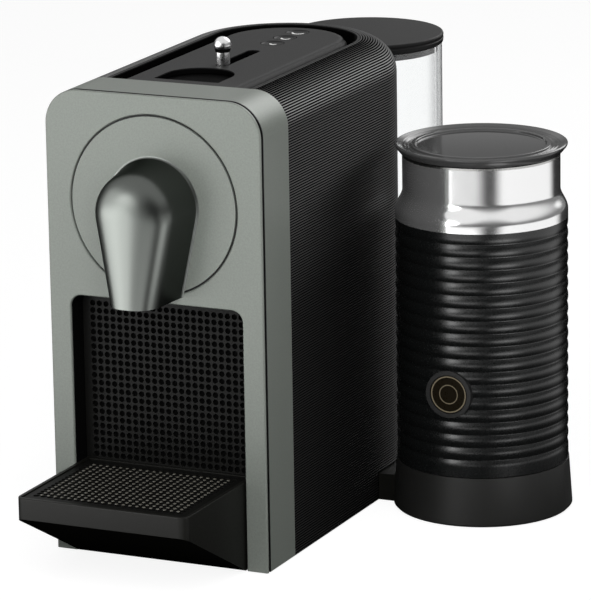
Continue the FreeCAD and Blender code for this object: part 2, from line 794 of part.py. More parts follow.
def button_places():
    """Y of each cup-size button."""
    return [depth(f"(button_depth + {index} * button_pitch)") for index in range(3)]


def top_deck():
    """Raised deck in a gutter, with the capsule hole, the slider's slot and the button holes."""
    body = new_body("top_deck")
    front = depth("frame_depth")
    base = "body_height - deck_drop"
    under = "body_height - deck_thick"
    wall = "rim_half - close_gap"
    plan = sketch_on(body, "XY_Plane", base)
    pad(body, round_end(plan, wall, "0", front), "deck_drop")
    channel = sketch_on(body, "XY_Plane", "body_height")
    round_end(channel, f"{wall} - deck_rail", "0", f"{front} - 2 * deck_thick")
    round_end(channel, "deck_half", "0", f"{front} - deck_thick")
    pocket(body, channel, "deck_gutter")
    top, edge = size("body_height"), size(front)
    limit = size("deck_half") + APART
    round_edges(body, "deck_round", lambda box: same(box.ZMin, top) and box.YMax > edge + APART
                and box.XMax < limit and -limit < box.XMin)
    hollow = sketch_on(body, "XY_Plane", under)
    pocket(body, round_end(hollow, "deck_half - deck_thick", "0", f"{front} + deck_thick"),
           "deck_drop - deck_thick")
    mouth = sketch_on(body, "XY_Plane", "body_height")
    pocket(body, round_end(mouth, "hole_half", depth("(hole_front + hole_straight)"), depth("hole_front")),
           "deck_thick")
    slot = sketch_on(body, "XY_Plane", "body_height")
    far_end = depth("(knob_depth + slider_travel)")
    pocket(body, round_end(slot, "slot_width / 2", far_end, depth("knob_depth")), "deck_thick")
    slot_end = sketch_on(body, "XY_Plane", "body_height")
    pocket(body, circle(slot_end, "0", depth("knob_depth"), "slot_width / 2"), "deck_thick")
    holes = sketch_on(body, "XY_Plane", "body_height")
    for place in button_places():
        circle(holes, "0", place, "button_radius + close_gap")
    pocket(body, holes, "deck_thick")
    posts = sketch_on(body, "XY_Plane", BOARD_TOP)
    for place in button_places()[:2]:
        for side in ("-", ""):
            circle(posts, f"{side}(board_half - post_radius)", f"{place} + button_pitch / 2", "post_radius")
    pad(body, posts, f"{under} - ({BOARD_TOP})")


SHUTTER_TOP = "body_height - deck_thick - slide_gap"
FLANGE_TOP = "body_height - deck_thick - close_gap"
SKIRT_LOW = f"{FLANGE_TOP} - button_flange"
BOARD_TOP = f"{SKIRT_LOW} - button_travel - close_gap - switch_height"


def slider():
    """Knob on a stem that carries the shutter under the capsule hole."""
    at = depth("knob_depth")
    neck_top = "body_height + knob_centre - knob_radius / 2"
    lathe("slider_stem", [("0", SHUTTER_TOP), ("stem_radius", SHUTTER_TOP),
                          ("stem_radius", "body_height + close_gap"),
                          ("shaft_radius", "body_height + close_gap"),
                          ("shaft_radius", "body_height + shaft_height"),
                          ("neck_radius", "body_height + shaft_height"),
                          ("neck_radius", neck_top), ("0", neck_top)], y=at)
    ball = doc.addObject("Part::Sphere", "ball")
    bind(ball, Radius="knob_radius", Placement__Base__y=at,
         Placement__Base__z="body_height + knob_centre")
    socket = rod("ball_socket", "neck_radius", Z_AXIS, ("body_height", neck_top), y=at)
    keep(cut("knob", ball, socket), "slider_knob")
    plate = block("shutter", ("-shutter_half", "shutter_half"),
                  (depth("(hole_front - shutter_lap)"), depth("(knob_depth + stem_radius + shutter_lap)")),
                  (f"{SHUTTER_TOP} - shutter_thick", SHUTTER_TOP))
    keep(plate, "capsule_shutter")


def buttons():
    """Three cup-size buttons, their switches and the board below them."""
    switches = []
    for label, place in zip(("small", "medium", "large"), button_places()):
        lathe(f"{label}_cup_button", [("0", SKIRT_LOW), ("button_radius + button_flange", SKIRT_LOW),
                                      ("button_radius + button_flange", FLANGE_TOP),
                                      ("button_radius", FLANGE_TOP), ("button_radius", "body_height"),
                                      ("button_radius - dish_side", "body_height - dish_depth + dish_floor"),
                                      ("0", "body_height - dish_depth")], y=place)
        switches.append(block(f"{label}_switch", ("-switch_side / 2", "switch_side / 2"),
                              (f"{place} - switch_side / 2", f"{place} + switch_side / 2"),
                              (BOARD_TOP, f"{BOARD_TOP} + switch_height")))
    keep(group("switches", *switches), "tact_switches")
    first, last = button_places()[0], button_places()[2]
    keep(block("board", ("-board_half", "board_half"),
               (f"{first} - button_radius", f"{last} + button_radius"),
               (f"{BOARD_TOP} - board_thick", BOARD_TOP)), "button_board")


PLATE_TOP = "plate_low + plate_thick"
INNER_HALF = f"{BODY_HALF} - shell_wall - close_gap"
SHELF_TOP = "shelf_low + shelf_thick"


def base():
    """Base plate on rubber feet, the swivel post, and the chassis screwed to the plate."""
    plate = new_body("base_plate")
    plan = sketch_on(plate, "XY_Plane", "plate_low")
    pad(plate, round_end(plan, INNER_HALF, "0", depth("frame_depth + close_gap")), "plate_thick")
    centre = sketch_on(plate, "XY_Plane", PLATE_TOP)
    pocket(plate, circle(centre, "0", "0", "post_stem"), "plate_thick")
    screw_y = depth("bulkhead_depth + bulkhead_thick / 2")
    places = [(f"{side} foot_spread", screw_y) for side in ("-", "")]
    holes = sketch_on(plate, "XY_Plane", PLATE_TOP)
    for x, y in places:
        circle(holes, x, y, "screw_shank + bore_gap")
    pocket(plate, holes, "plate_thick")

    feet = [rod(f"foot_{index}", "foot_radius", Z_AXIS, ("0", "plate_low"), x=f"{side} foot_spread", y=y)
            for index, (side, y) in enumerate((side, y) for side in ("-", "")
                                              for y in (depth("foot_front"), "foot_rear"))]
    keep(group("feet", *feet), "rubber_feet")

    lathe("pivot_post", [("0", "0"), ("post_foot", "0"), ("post_foot", "plate_low"),
                         ("post_stem", "plate_low"), ("post_stem", POST_TOP), ("0", POST_TOP)])

    screws = []
    for index, (x, y) in enumerate(places):
        head = rod(f"head_{index}", "screw_head", Z_AXIS, ("floor_gap / 2", "plate_low"), x=x, y=y)
        shank = rod(f"shank_{index}", "screw_shank", Z_AXIS, ("floor_gap / 2", "screw_length"), x=x, y=y)
        screws.append(fuse(f"screw_{index}", head, shank))
    keep(group("screws", *screws), "base_screws")

    near, far = depth("bulkhead_depth"), depth("bulkhead_depth + bulkhead_thick")
    wall = block("bulkhead", (f"-({INNER_HALF})", INNER_HALF), (near, far), (PLATE_TOP, "bulkhead_top"))
    shelf = new_body("chassis_shelf", whole=False)
    plan = sketch_on(shelf, "XY_Plane", "shelf_low")
    pad(shelf, round_end(plan, INNER_HALF, "0", near), "shelf_thick")
    thread = ("0", "screw_length + close_gap")
    tapped = [rod(f"tapped_{index}", "screw_shank + bore_gap", Z_AXIS, thread, x=x, y=y)
              for index, (x, y) in enumerate(places)]
    window = block("unit_window", ("-unit_half - close_gap", "unit_half + close_gap"), (near, far),
                   ("unit_low - close_gap", "bulkhead_top"))
    free = "hose_radius + close_gap"
    passages = [rod("low_passage", free, Y_AXIS, (near, far), x="hose_side", z="hose_high"),
                rod("high_passage", free, Y_AXIS, (near, far), x=BREW_HOSE_X, z=BREW_HOSE_Z),
                rod("pivot_passage", free, Z_AXIS, ("shelf_low", SHELF_TOP))]
    keep(cut("chassis", fuse("chassis_blank", wall, shelf), window, *tapped, *passages), "chassis")

    board = block("mains_board", ("-board_width / 2", "board_width / 2"),
                  ("board_behind", "board_behind + board_thick"), (SHELF_TOP, "board_top"))
    keep(board, "control_board")
    start = f"{BODY_HALF} - gland_depth"
    through = (start, f"{BODY_HALF} + gland_reach")
    stem = rod("gland_stem", "gland_radius - close_gap", Y_AXIS, through, z="gland_height")
    inside = (start, f"{start} + gland_flange_thick")
    flange = rod("gland_collar", "gland_flange", Y_AXIS, inside, z="gland_height")
    mains = rod("gland_bore", "gland_radius / 2", Y_AXIS, through, z="gland_height")
    keep(cut("gland_cut", fuse("gland", stem, flange), mains), "cord_gland")


BREW_HOSE_X = "block_inner + block_width / 2"
BREW_HOSE_Z = "block_low + hose_rise"


def annulus(centre, heading):
    """Cross-section of a hose."""
    outer = Part.Face(Part.Wire(Part.makeCircle(size("hose_radius"), centre, heading)))
    return outer.cut(Part.Face(Part.Wire(Part.makeCircle(size("hose_bore"), centre, heading))))


def hose(label, points):
    """Tube of straight runs that are joined by quarter bends."""
    route = [Vector(*(size(value) for value in point)) for point in points]
    bend = size("hose_bend")
    runs, start, path = [], route[0], 0.0
    for before, corner, after in zip(route, route[1:], route[2:]):
        back = (before - corner).normalize()
        ahead = (after - corner).normalize()
        enter, centre = corner + back * bend, corner + (back + ahead) * bend
        runs.append(annulus(start, back).extrude(enter - start))
        runs.append(annulus(enter, back).revolve(centre, ahead.cross(back), QUARTER_TURN))
        path += (enter - start).Length + bend * math.radians(QUARTER_TURN)
        start = corner + ahead * bend
    last = route[-1] - start
    runs.append(annulus(start, last).extrude(last))
    tube = runs[0].fuse(runs[1:]).removeSplitter()
    area = math.pi * (size("hose_radius") ** 2 - size("hose_bore") ** 2)
    if abs(tube.Volume / (area * (path + last.Length)) - 1) > HOSE_TOLERANCE:
        raise ValueError(f"{label} has the wrong volume")
    keep(solid(label, tube), label)


def water_path():
    """Pump on its mounts, thermoblock and the three hoses."""
    half = "pump_length / 2"
    can = rod("pump_can", "pump_radius", X_AXIS, (f"-{half}", half), y="pump_behind", z="pump_height")
    keep(can, "pump")
    mounts = []
    for index, side in enumerate(("-", "")):
        across = (f"{side}mount_spread - mount_width / 2", f"{side}mount_spread + mount_width / 2")
        along = ("pump_behind - pump_radius", "pump_behind + pump_radius")
        cradle = block(f"cradle_{index}", across, along, (SHELF_TOP, "pump_height"))
        bed = rod(f"bed_{index}", "pump_radius", X_AXIS, across, y="pump_behind", z="pump_height")
        mounts.append(cut(f"mount_{index}", cradle, bed))
    keep(group("mounts", *mounts), "pump_mounts")
    keep(block("heater", ("block_inner", "block_inner + block_width"),
               (depth("block_front"), depth("(block_front + block_length)")),
               ("block_low", "block_low + block_height")), "thermoblock")
    hose("suction_hose", [("0", "0", POST_TOP), ("0", "0", "hose_low"), ("-hose_side", "0", "hose_low"),
                          ("-hose_side", "pump_behind", "hose_low"),
                          ("-hose_side", "pump_behind", "pump_height"),
                          (f"-{half}", "pump_behind", "pump_height")])
    entry = depth("(block_front + block_length / 2)")
    hose("pressure_hose", [(half, "pump_behind", "pump_height"),
                           ("hose_side", "pump_behind", "pump_height"),
                           ("hose_side", "pump_behind", "hose_high"),
                           ("hose_side", entry, "hose_high"), ("hose_side", entry, "block_low")])
    beside = depth("(gear_depth + gear_width / 2)")
    hose("brew_hose", [(BREW_HOSE_X, depth("(block_front + block_length)"), BREW_HOSE_Z),
                       (BREW_HOSE_X, beside, BREW_HOSE_Z), ("unit_half", beside, BREW_HOSE_Z)])


UNIT_INNER = "unit_half - unit_wall"
HUB_WALL = "gear_depth - gear_hub_gap - unit_wall"
MOTOR_WALL = "gear_depth + gear_width + gear_side_gap"
AXLE_GAP = "gear_module * (gear_teeth + pinion_teeth) / 2 + gear_play"
PINION_Z = f"head_height - ({AXLE_GAP})"


def gear_blank(teeth, turn, middle):
    """Involute gear along Y about a point, turned so that the pair is in mesh."""
    outline = fcgear.FCWireBuilder()
    involute.CreateExternalGear(outline, size("gear_module"), int(size(teeth)), size("gear_pressure_angle"))
    wire = Part.Wire([edge.toShape() for edge in outline.wire])
    blank = Part.Face(wire).extrude(Vector(0, 0, size("gear_width")))
    spin = Rotation(Z_AXIS, turn)
    blank.Placement = Placement(middle, Rotation(Z_AXIS, Y_AXIS) * spin)
    return blank


def drum(radius, span, height):
    """Plain cylinder along Y for a gear's hub, shaft or bore."""
    low, high = size(span[0]), size(span[1])
    return Part.makeCylinder(size(radius), high - low, Vector(0, low, size(height)), Y_AXIS)


def brew_unit():
    """Frame with the piercing plate, the capsule cage on its lead screw, and the geared motor."""
    face, end = depth(f"{SEAT_DEPTH} + frame_face"), depth(f"({MOTOR_WALL} + unit_wall / 2)")
    rails = ("-unit_half", "unit_half")
    inside = (f"-({UNIT_INNER})", UNIT_INNER)
    tall = ("unit_low", "unit_top")
    hub_wall, hub_end = depth(f"({HUB_WALL})"), depth(f"({HUB_WALL} + unit_wall)")
    blank = block("unit", rails, (face, end), tall)
    chamber = block("chamber", inside, (f"{face} + unit_face", hub_wall), tall)
    gear_room = block("gear_room", inside, (hub_end, depth(f"({MOTOR_WALL})")), tall)
    last = (depth(f"({MOTOR_WALL})"), end)
    frame = cut("unit_cut", blank, chamber, gear_room,
                rod("unit_duct", DUCT_HOLE, Y_AXIS, (face, f"{face} + unit_face"), z="head_height"),
                rod("hub_bore", "hub_radius + bore_gap", Y_AXIS, (hub_wall, hub_end), z="head_height"),
                rod("screw_way", "screw_radius + close_gap", Y_AXIS, last, z="head_height"),
                rod("shaft_way", "shaft_radius + close_gap", Y_AXIS, last, z=PINION_Z))
    keep(frame, "brew_frame")

    front, back = depth("pierce_depth"), depth("(pierce_depth + pierce_thick)")
    bar = block("pierce_bar", inside, (front, back),
                ("head_height - pierce_height / 2", "head_height + pierce_height / 2"))
    boss = rod("pierce_boss", "pierce_radius", Y_AXIS, (front, f"{back} + pierce_boss"), z="head_height")
    bore = rod("pierce_bore", "duct_bore", Y_AXIS, (front, f"{back} + pierce_boss"), z="head_height")
    keep(cut("pierce", fuse("pierce_blank", bar, boss), bore), "piercing_plate")

    near, far = depth("cage_front"), depth("(cage_front + cage_length)")
    cage_half = f"{UNIT_INNER} - slide_gap"
    carriage = block("carriage", (f"-({cage_half})", cage_half), (near, far),
                     ("head_height - cage_height / 2", "head_height + cage_height / 2"))
    cup = rod("cup", "cage_bore", Y_AXIS, (near, f"{far} - cage_floor"), z="head_height")
    keep(cut("cage", carriage, cup), "capsule_cage")
    reach = depth("(gear_depth + gear_width + cage_travel + cage_floor)")
    keep(rod("screw", "screw_radius", Y_AXIS, (far, reach), z="head_height"), "lead_screw")

    at = size(depth("gear_depth"))
    middle, below = Vector(0, at, size("head_height")), Vector(0, at, size(PINION_Z))
    wheel = gear_blank("gear_teeth", 0.0, middle)
    wheel = wheel.fuse(drum("hub_radius", (f"{hub_wall} + close_gap", depth("gear_depth")), "head_height"))
    bore_span = (hub_wall, depth("(gear_depth + gear_width)"))
    wheel = wheel.cut(drum("screw_radius + bore_gap", bore_span, "head_height"))
    keep(solid("wheel", wheel.removeSplitter()), "drive_gear")
    half_tooth = 180.0 / size("pinion_teeth")
    pinion = gear_blank("pinion_teeth", half_tooth, below)
    pinion = pinion.fuse(drum("shaft_radius", (depth("gear_depth"), f"{end} + cage_floor"), PINION_Z))
    keep(solid("pinion", pinion.removeSplitter()), "motor_pinion")

    can = rod("can", "motor_radius", Y_AXIS, (end, f"{end} + motor_length"), z=PINION_Z)
    bearing = rod("can_bore", "shaft_radius + bore_gap", Y_AXIS,
                  (end, f"{end} + cage_floor + close_gap"), z=PINION_Z)
    keep(cut("motor", can, bearing), "brew_motor")


TANK_HUB_LOW = f"{PLATE_TOP} + close_gap"
TANK_HUB_TOP = f"{TANK_HUB_LOW} + hub_thick"
JUG_HUB_LOW = f"{TANK_HUB_TOP} + close_gap"
POST_TOP = "shelf_low - close_gap"


def ring_hub(name, low, high):
    """Ring on the swivel post."""
    return rod(f"{name}_hub", "hub_outer", Z_AXIS, (low, high))


def post_bore(name):
    """Running fit of an arm on the swivel post."""
    return rod(f"{name}_bore", "post_stem + bore_gap", Z_AXIS, ("0", "arm_top + floor_gap"))


def water_tank():
    """Arm with the seat of the tank, the clear tank with its valve, and the lid."""
    hub = ring_hub("tank", TANK_HUB_LOW, TANK_HUB_TOP)
    sides = ("-arm_half", "arm_half")
    neck = block("tank_neck", sides, ("0", "tank_reach"), (TANK_HUB_LOW, TANK_HUB_TOP))
    inner = "tank_radius + slide_gap"
    seat = lathe("tank_seat", [("0", "arm_low"), ("seat_radius", "arm_low"),
                               ("seat_radius", "seat_top + seat_rim"), (inner, "seat_top + seat_rim"),
                               (inner, "seat_top"), ("spigot_radius", "seat_top"),
                               ("spigot_radius", "seat_top + spigot_height"),
                               ("0", "seat_top + spigot_height")], y="tank_reach", whole=False)
    keep(cut("tank_arm_cut", fuse("tank_arm_blank", hub, neck, seat), post_bore("tank")), "tank_arm")

    low = "seat_top + close_gap"
    floor = f"{low} + tank_floor"
    wall = "tank_radius - tank_wall"
    lathe("water_tank", [("valve_radius", low), ("tank_radius", low), ("tank_radius", "tank_top"),
                         (wall, "tank_top"), (wall, floor), ("valve_radius", floor)], y="tank_reach")
    bore = "spigot_radius + slide_gap"
    cap = f"{floor} + valve_height"
    lathe("tank_valve", [(bore, low), ("valve_radius - bore_gap", low), ("valve_radius - bore_gap", floor),
                         ("valve_flange", floor), ("valve_flange", f"{floor} + tank_wall"),
                         ("valve_radius", cap), ("0", cap), ("0", f"{cap} - tank_wall"),
                         (bore, f"{cap} - tank_wall")], y="tank_reach")
    lid_low = "tank_top + close_gap"
    plug = f"{wall} - slide_gap"
    lip = "tank_lid_radius - tank_lid_step"
    step = f"{lid_low} + tank_lid_thick - tank_lid_edge"
    lathe("tank_lid", [("0", f"{lid_low} + tank_lid_thick"), ("0", lid_low),
                       (f"{plug} - tank_plug_wall", lid_low),
                       (f"{plug} - tank_plug_wall", f"{lid_low} - tank_plug_depth"),
                       (plug, f"{lid_low} - tank_plug_depth"), (plug, lid_low), (lip, lid_low), (lip, step),
                       ("tank_lid_radius", step), ("tank_lid_radius", f"{lid_low} + tank_lid_thick")],
          y="tank_reach")


def frother_dock():
    """Arm, tapered base and its connector."""
    bottom = "dock_radius + dock_foot_round * (dock_radius - dock_top_radius) / dock_height"
    cone = doc.addObject("Part::Cone", "dock_cone")
    bind(cone, Radius1=bottom, Radius2="dock_top_radius", Height="dock_height")
    bind(cone, Placement__Base__x="frother_reach")
    hub = ring_hub("frother", JUG_HUB_LOW, "arm_top")
    sides = ("-arm_half", "arm_half")
    neck = block("frother_neck", ("0", "arm_start"), sides, (JUG_HUB_LOW, "arm_top"))
    outer = block("frother_link", ("arm_start", "frother_reach"), sides, ("arm_low", "arm_top"))
    keep(cut("frother_arm_cut", fuse("frother_arm_blank", hub, neck, outer), post_bore("frother"), cone),
         "frother_arm")
    ceiling = "dock_height - dock_wall"
    flank = "dock_radius - dock_wall"
    foot = "arm_low + dock_foot_round"
    lathe("frother_base", [(flank, "arm_low"), ("dock_radius - dock_foot_round", "arm_low"),
                           (f"{bottom} - ({bottom} - dock_top_radius) * ({foot}) / dock_height", foot),
                           ("dock_top_radius", "dock_height"), ("plug_radius + bore_gap", "dock_height"),
                           ("plug_radius + bore_gap", ceiling), (f"{flank} - close_gap", ceiling)],
          x="frother_reach")
    lathe("base_connector", [("0", f"{ceiling} - dock_wall"), ("plug_flange", f"{ceiling} - dock_wall"),
                             ("plug_flange", ceiling), ("plug_radius", ceiling),
                             ("plug_radius", "dock_height + plug_rise"), ("0", "dock_height + plug_rise")],
          x="frother_reach")


SLEEVE_LOW = "dock_height + close_gap"
SLEEVE_INNER = "jug_radius - sleeve_wall"
COLLAR_BEND = "sleeve_top + collar_straight"
POT_OUTER = "collar_radius - collar_wall - bore_gap"
RIM_TOP = "collar_top + pot_rim"


def jug():
    """Ribbed sleeve, polished collar, heated pot, mixer motor, whisk and front button."""
    reach = "frother_reach"
    floor_inner, floor_outer = "plug_radius + slide_gap", f"{SLEEVE_INNER} - bore_gap"
    floor_top = f"{SLEEVE_LOW} + jug_floor"
    lathe("jug_bottom", [(floor_inner, SLEEVE_LOW), (floor_outer, SLEEVE_LOW), (floor_outer, floor_top),
                         (floor_inner, floor_top)], x=reach)
    plain = lathe("plain_sleeve", [(SLEEVE_INNER, SLEEVE_LOW), ("jug_radius", SLEEVE_LOW),
                                   ("jug_radius", "sleeve_top"), (SLEEVE_INNER, "sleeve_top")],
                  x=reach, whole=False)
    grooves = []
    for index in range(int(size("rib_count"))):
        groove = doc.addObject("Part::Torus", f"groove_{index}")
        bind(groove, Radius1="jug_radius + rib_radius - rib_depth", Radius2="rib_radius")
        bind(groove, Placement__Base__x=reach, Placement__Base__z=f"rib_first + {index} * rib_pitch")
        grooves.append(groove)
    window = rod("bezel_window", "bezel_radius + bore_gap", Y_AXIS, ("-jug_radius - bezel_proud", "0"),
                 x=reach, z="press_height")
    keep(cut("sleeve", plain, group("grooves", *grooves), window), "jug_sleeve")

    inner = "collar_radius - collar_wall"
    skirt = "jug_radius - collar_wall"
    neck = f"{COLLAR_BEND} + collar_shoulder"
    lathe("jug_collar", [(skirt, "sleeve_top"), ("jug_radius", "sleeve_top"), ("jug_radius", COLLAR_BEND),
                         ("collar_radius", neck), ("collar_radius", "collar_top"), (inner, "collar_top"),
                         (inner, neck), (skirt, COLLAR_BEND)], x=reach)
    pot_inner = f"{POT_OUTER} - pot_wall"
    lathe("inner_pot", [("0", "pot_floor"), (POT_OUTER, "pot_floor"), (POT_OUTER, "collar_top"),
                        ("collar_radius", "collar_top"), ("collar_radius", RIM_TOP), (pot_inner, RIM_TOP),
                        (pot_inner, "pot_floor + pot_wall"), ("0", "pot_floor + pot_wall")], x=reach)
    heater_low = "pot_floor - heater_thick"
    lathe("heater_plate", [("heater_bore", heater_low), ("heater_radius", heater_low),
                           ("heater_radius", "pot_floor"), ("heater_bore", "pot_floor")], x=reach)
    motor_top = "mixer_low + mixer_height"
    lathe("frother_motor", [("0", "mixer_low"), ("mixer_radius", "mixer_low"), ("mixer_radius", motor_top),
                            ("shaft_radius + bore_gap", motor_top),
                            ("shaft_radius + bore_gap", f"{motor_top} - magnet_thick"),
                            ("0", f"{motor_top} - magnet_thick")], x=reach)
    magnet_low = "pot_floor - magnet_thick - slide_gap"
    shaft_low = f"{motor_top} - magnet_thick + close_gap"
    lathe("drive_magnet", [("0", shaft_low), ("shaft_radius", shaft_low), ("shaft_radius", magnet_low),
                           ("magnet_radius", magnet_low), ("magnet_radius", "pot_floor - slide_gap"),
                           ("0", "pot_floor - slide_gap")], x=reach)
    whisk_low = "pot_floor + pot_wall + slide_gap"
    ring_height = f"{whisk_low} + whisk_height"
    torus = doc.addObject("Part::Torus", "whisk_ring")
    bind(torus, Radius1="whisk_radius", Radius2="whisk_wire")
    bind(torus, Placement__Base__x=reach, Placement__Base__z=ring_height)
    foot = rod("whisk_foot", "magnet_radius", Z_AXIS, (whisk_low, f"{whisk_low} + whisk_hub"), x=reach)
    stem = rod("whisk_stem", "whisk_wire", Z_AXIS, (whisk_low, ring_height), x=reach)
    spoke = rod("whisk_spoke", "whisk_wire / 2", X_AXIS,
                (f"{reach} - whisk_radius", f"{reach} + whisk_radius"), z=ring_height)
    keep(fuse("whisk_parts", torus, foot, stem, spoke), "whisk")

    face = "-jug_radius - bezel_proud"
    bezel_back = f"-({SLEEVE_INNER})"
    across = (face, bezel_back)
    rim = rod("bezel_rim", "bezel_radius", Y_AXIS, across, x=reach, z="press_height")
    hole = rod("bezel_hole", "press_radius + close_gap", Y_AXIS, across, x=reach, z="press_height")
    keep(cut("bezel", rim, hole), "button_bezel")
    cap = (f"{face} + close_gap", f"{face} + close_gap + press_depth")
    keep(rod("press", "press_radius", Y_AXIS, cap, x=reach, z="press_height"), "frother_button")


def jug_lid():
    """Dished lid with a raised ring, a plug and its seal."""
    low = f"{RIM_TOP} + close_gap"
    top = f"{low} + jug_lid_thick"
    dish = f"{top} - jug_lid_dish"
    ring_outer, ring_top = "jug_lid_ring + jug_lid_ring_width", f"{dish} + jug_lid_ring_rise"
    plug_inner = "jug_plug_radius - jug_plug_wall"
    ceiling = f"{dish} - jug_plug_wall"
    groove_low = f"{low} - seal_drop - seal_height"
    groove_top = f"{low} - seal_drop"
    groove = "jug_plug_radius - seal_width / 2"
    bottom = f"{low} - jug_plug_depth"
    lathe("jug_lid", [("0", dish), ("0", ceiling), (plug_inner, ceiling), (plug_inner, bottom),
                      ("jug_plug_radius", bottom), ("jug_plug_radius", groove_low), (groove, groove_low),
                      (groove, groove_top), ("jug_plug_radius", groove_top), ("jug_plug_radius", low),
                      ("jug_lid_foot", low), ("jug_lid_radius", f"{top} - jug_lid_lip"),
                      ("jug_lid_radius", top), (ring_outer, dish),
                      (ring_outer, ring_top), ("jug_lid_ring", ring_top), ("jug_lid_ring", dish)],
          x="frother_reach")
    lathe("lid_seal", [(groove, groove_low), (f"{groove} + seal_width", groove_low),
                       (f"{groove} + seal_width", groove_top), (groove, groove_top)], x="frother_reach")


def export():
    """Stop on any failed object, then write one file for each sub-part."""
    doc.recompute()
    failed = [item.Name for item in doc.Objects if {"Invalid", "Error"} & set(item.State)]
    if failed:
        raise RuntimeError(f"failed objects: {failed}")
    os.makedirs("parts", exist_ok=True)
    for part in parts:
        shape = part.Shape
        if shape.isNull() or not shape.isValid() or not shape.Solids:
            raise RuntimeError(f"{part.Label} has no valid shape")
        shape.exportStep(f"parts/{part.Label}.step")


for build in (front_panel, panel_gasket, front_frame, bay_liner, brew_head, drawer, body_shell, top_deck,
              slider, buttons, base, water_path, brew_unit, water_tank, frother_dock, jug, jug_lid):
    build()
export()
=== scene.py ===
"""Looks of the pod coffee machine: ribbed shell, nose, polished jug, clear tank, finishes and studio."""
import json
import math
from functools import partial

import bmesh
import bpy
import numpy as np
from bpy.props import FloatProperty, FloatVectorProperty, IntProperty, PointerProperty
from bpy.types import Operator, Panel, PropertyGroup
from mathutils import Matrix, Vector


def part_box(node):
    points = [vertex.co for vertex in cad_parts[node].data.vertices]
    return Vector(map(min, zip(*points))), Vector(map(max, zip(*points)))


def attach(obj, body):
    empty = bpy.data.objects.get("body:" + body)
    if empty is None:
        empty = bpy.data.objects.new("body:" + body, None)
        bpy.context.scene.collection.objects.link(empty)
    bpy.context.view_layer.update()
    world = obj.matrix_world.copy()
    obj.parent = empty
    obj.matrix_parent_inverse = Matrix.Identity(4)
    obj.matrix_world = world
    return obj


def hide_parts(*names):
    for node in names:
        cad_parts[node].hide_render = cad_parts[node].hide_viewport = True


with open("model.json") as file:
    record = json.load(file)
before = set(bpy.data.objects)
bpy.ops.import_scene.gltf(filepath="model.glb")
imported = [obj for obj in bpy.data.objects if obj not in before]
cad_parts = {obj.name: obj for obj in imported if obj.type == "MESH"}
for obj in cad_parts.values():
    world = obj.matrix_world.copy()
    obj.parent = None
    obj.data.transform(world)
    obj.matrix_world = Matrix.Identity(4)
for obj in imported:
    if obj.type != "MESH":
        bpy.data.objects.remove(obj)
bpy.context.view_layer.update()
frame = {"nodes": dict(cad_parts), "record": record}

bl_info = {
    "name": "Pod coffee machine",
    "version": (1, 0, 0),
    "blender": (4, 5, 0),
    "location": "3D View > Sidebar > Coffee",
    "description": "Builds the looks of a pod coffee machine around its packed solids",
    "category": "Object",
}

MM = 0.001
WELD = 1e-3 * MM
QUARTER, HALF, FULL = math.pi / 2, math.pi, 2 * math.pi

SHELL_LOW, SHELL_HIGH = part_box("body_shell")
SLEEVE_LOW, SLEEVE_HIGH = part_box("jug_sleeve")
COLLAR_LOW, COLLAR_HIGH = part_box("jug_collar")
JUG_LID_LOW, JUG_LID_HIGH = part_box("jug_lid")
TANK_LID_LOW, TANK_LID_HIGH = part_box("tank_lid")
NOSE_LOW, NOSE_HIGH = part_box("spout_housing")
STEM_LOW, STEM_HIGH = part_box("slider_stem")
BEZEL_LOW, BEZEL_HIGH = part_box("button_bezel")
DECK_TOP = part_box("front_frame")[1].z
FRAME_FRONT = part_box("front_frame")[0].y
JUG_AXIS = (SLEEVE_LOW + SLEEVE_HIGH) / 2
TANK_AXIS = (TANK_LID_LOW + TANK_LID_HIGH) / 2
KNOB_AXIS = (STEM_LOW + STEM_HIGH) / 2
PRESS_CENTRE = (BEZEL_LOW + BEZEL_HIGH) / 2
MARK_RADII = {"small": 1.8 * MM, "medium": 2.6 * MM, "large": 3.4 * MM}
MARK_OPEN = 0.04 * HALF  # angle that each end of a mark stops short of level
MARK_STEPS, MARK_TAPER = 25, 0.4  # points along a mark, and how slowly it narrows to its ends
KNOB_TURNS, BALL_ROWS = 48, 24
BALL_SEAT = -0.35  # angle below the ball's middle where the cup holds it
STUD_TURNS, STUD_ROWS = 12, 5
COLLAR_TURNS, COLLAR_ROWS = 160, 40
BUTTON_SPAN = 0.36  # half the angle of the jug's turn that is divided finely round the button
FINE_COLUMNS, COARSE_COLUMNS = 41, 90
# Corners in millimetres: across and up from the deck's top on the knob's axis, the lid's rim or the ring's foot,
# and reach of the rounding
KNOB_SHAFT = ((3.2, 0.3, 0), (3.8, 0.3, 0.2), (3.8, 7.3, 0.2), (0, 7.3, 0))
KNOB_CUP = ((0, 7.0, 0), (3.9, 7.0, 0.2), (4.5, 9.5, 0.3), (0, 9.7, 0))
TANK_LID_EDGE = ((-0.6, 0, 0.9), (0, -1.6, 0.6), (-0.5, -2.2, 0.2), (-0.5, -2.8, 0.2), (-0.1, -3.2, 0.2),
                 (-0.4, -5.6, 0.5))
JUG_LID_RING = ((-0.6, 0, 0.5), (0, 1.4, 0.5), (2.4, 1.4, 0.5), (3.0, 0, 0.5))
JUG_LID_EDGE = ((-2.2, -0.5, 0.8), (-1.0, 0, 0.4), (0, -0.6, 0.5), (-0.2, -1.8, 0.5), (-3.4, -5.6, 1.4))
JUG_LID_GROOVE = ((-0.6, 0, 0.2), (0, -0.5, 0.2), (0.6, 0, 0.2))
GROOVE_SHARES = (0.3, 0.62)  # where the grooves lie between the ring and the rim
TANK_PLUG_REACHES, JUG_PLUG_REACHES = (0.1, 0.3, 0.3, 0.2), (0.2, 0.3, 0.3, 0.6)


